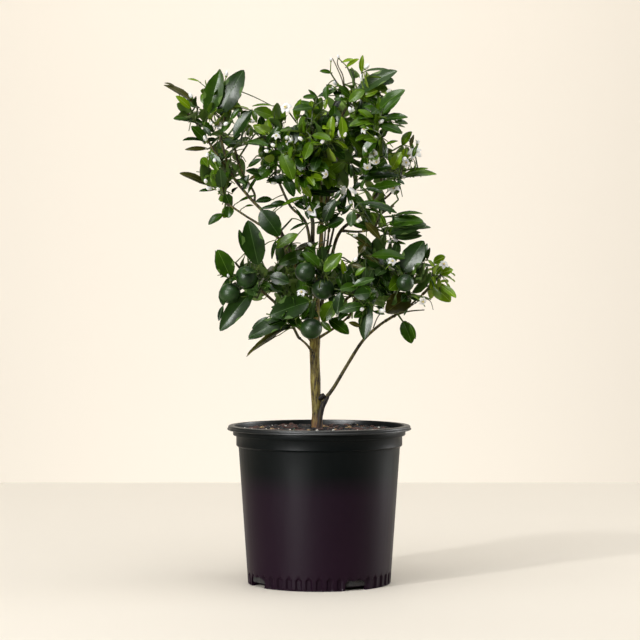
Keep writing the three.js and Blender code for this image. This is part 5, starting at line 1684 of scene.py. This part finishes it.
STUDIO = {"half_width": 6.0, "near_y": -1.1, "floor_end": 1.54, "wall_y": 4.6, "foot": -1.5, "top": 5.0}
# Each lamp: its place, what it faces, its width and height, its power in watts. The reflectors only
# add sheen: their light shows in gloss and nowhere else.
LAMPS = {
    "key": ((-2.9, -3.15, 1.6), (0, 0, 0.3), (0.36, 0.36), 106),
    "left_bank": ((-2.5, -1.0, 0.8), (0, 0, 0.25), (1.2, 1.8), 7),
    "right_bank": ((2.6, -0.2, 0.8), (0, 0, 0.25), (1.4, 1.8), 12),
    "top_bank": ((0.1, -0.8, 3.2), (0, 0, 0), (3.2, 3.2), 82),
    "wall_wash_high": ((-0.15, 2.2, 3.2), (-0.1, 4.6, 0.5), (2.6, 2.4), 53),
    "wall_wash_low": ((-0.1, 2.4, -1.1), (-0.1, 4.6, 0.2), (2.6, 2.4), 41),
    "reflector_left": ((-1.3, -2.0, 0.7), (0, 0, 0.2), (0.4, 1.3), 118),
    "reflector_right": ((2.2, 0.9, 0.5), (0, 0, 0.2), (0.8, 1.6), 60),
    "reflector_top": ((-0.4, -1.3, 2.4), (0, 0, 0.3), (1.6, 0.35), 70),
}
WORLD = {"colour": "fffaf2", "strength": 0.16}


def flat_sheet(name, corners, colour):
    mesh = bpy.data.meshes.new(name)
    mesh.from_pydata(corners, [], [(0, 1, 2, 3)])
    mesh.materials.append(studio_paint(f"{name}_paint", colour))
    sheet = bpy.data.objects.new(name, mesh)
    bpy.context.collection.objects.link(sheet)


def make_studio():
    """A pale floor that ends in front of a pale wall."""
    s = STUDIO
    left, right = -s["half_width"], s["half_width"]
    flat_sheet("studio_floor", [(left, s["near_y"], 0), (right, s["near_y"], 0),
                                (right, s["floor_end"], 0), (left, s["floor_end"], 0)], "eae2d4")
    flat_sheet("studio_wall", [(left, s["wall_y"], s["foot"]), (right, s["wall_y"], s["foot"]),
                               (right, s["wall_y"], s["top"]), (left, s["wall_y"], s["top"])], "faf0e0")


def make_lights():
    for name, (place, aim, size, power) in LAMPS.items():
        lamp = bpy.data.lights.new(name, "AREA")
        lamp.shape = "ELLIPSE" if name == "key" else "RECTANGLE"
        lamp.size, lamp.size_y = size
        lamp.energy = power
        holder = bpy.data.objects.new(name, lamp)
        holder.location = place
        way = np.array(aim, float) - np.array(place)
        flat = math.hypot(way[0], way[1])
        holder.rotation_euler = (math.radians(90) + math.atan2(way[2], flat), 0, math.atan2(-way[0], way[1]))
        holder.visible_diffuse = not name.startswith("reflector")
        holder.visible_glossy = name != "left_bank"
        bpy.context.collection.objects.link(holder)
    world = bpy.data.worlds.new("studio")
    world.use_nodes = True
    background = world.node_tree.nodes["Background"]
    background.inputs["Color"].default_value = linear(WORLD["colour"])
    background.inputs["Strength"].default_value = WORLD["strength"]
    bpy.context.scene.world = world
    bpy.context.scene.view_settings.view_transform = "Standard"


# ---------------------------------------------------------------- everything

def dress_soil_node():
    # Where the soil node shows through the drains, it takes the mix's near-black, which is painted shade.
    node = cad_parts["soil"]
    node.data.materials.clear()
    node.data.materials.append(moist_mix_in_painted_shade())


make_camera()
limbs = make_limbs()
growths = [Growth(key, limbs).grow() for key in KEYS]
make_pot()
dress_soil_node()
make_potting_mix()
make_bits()
make_bark(limbs)
make_leaves(growths)
make_twigs(growths)
make_fruit(growths)
make_blossom(growths)
make_studio()
make_lights()
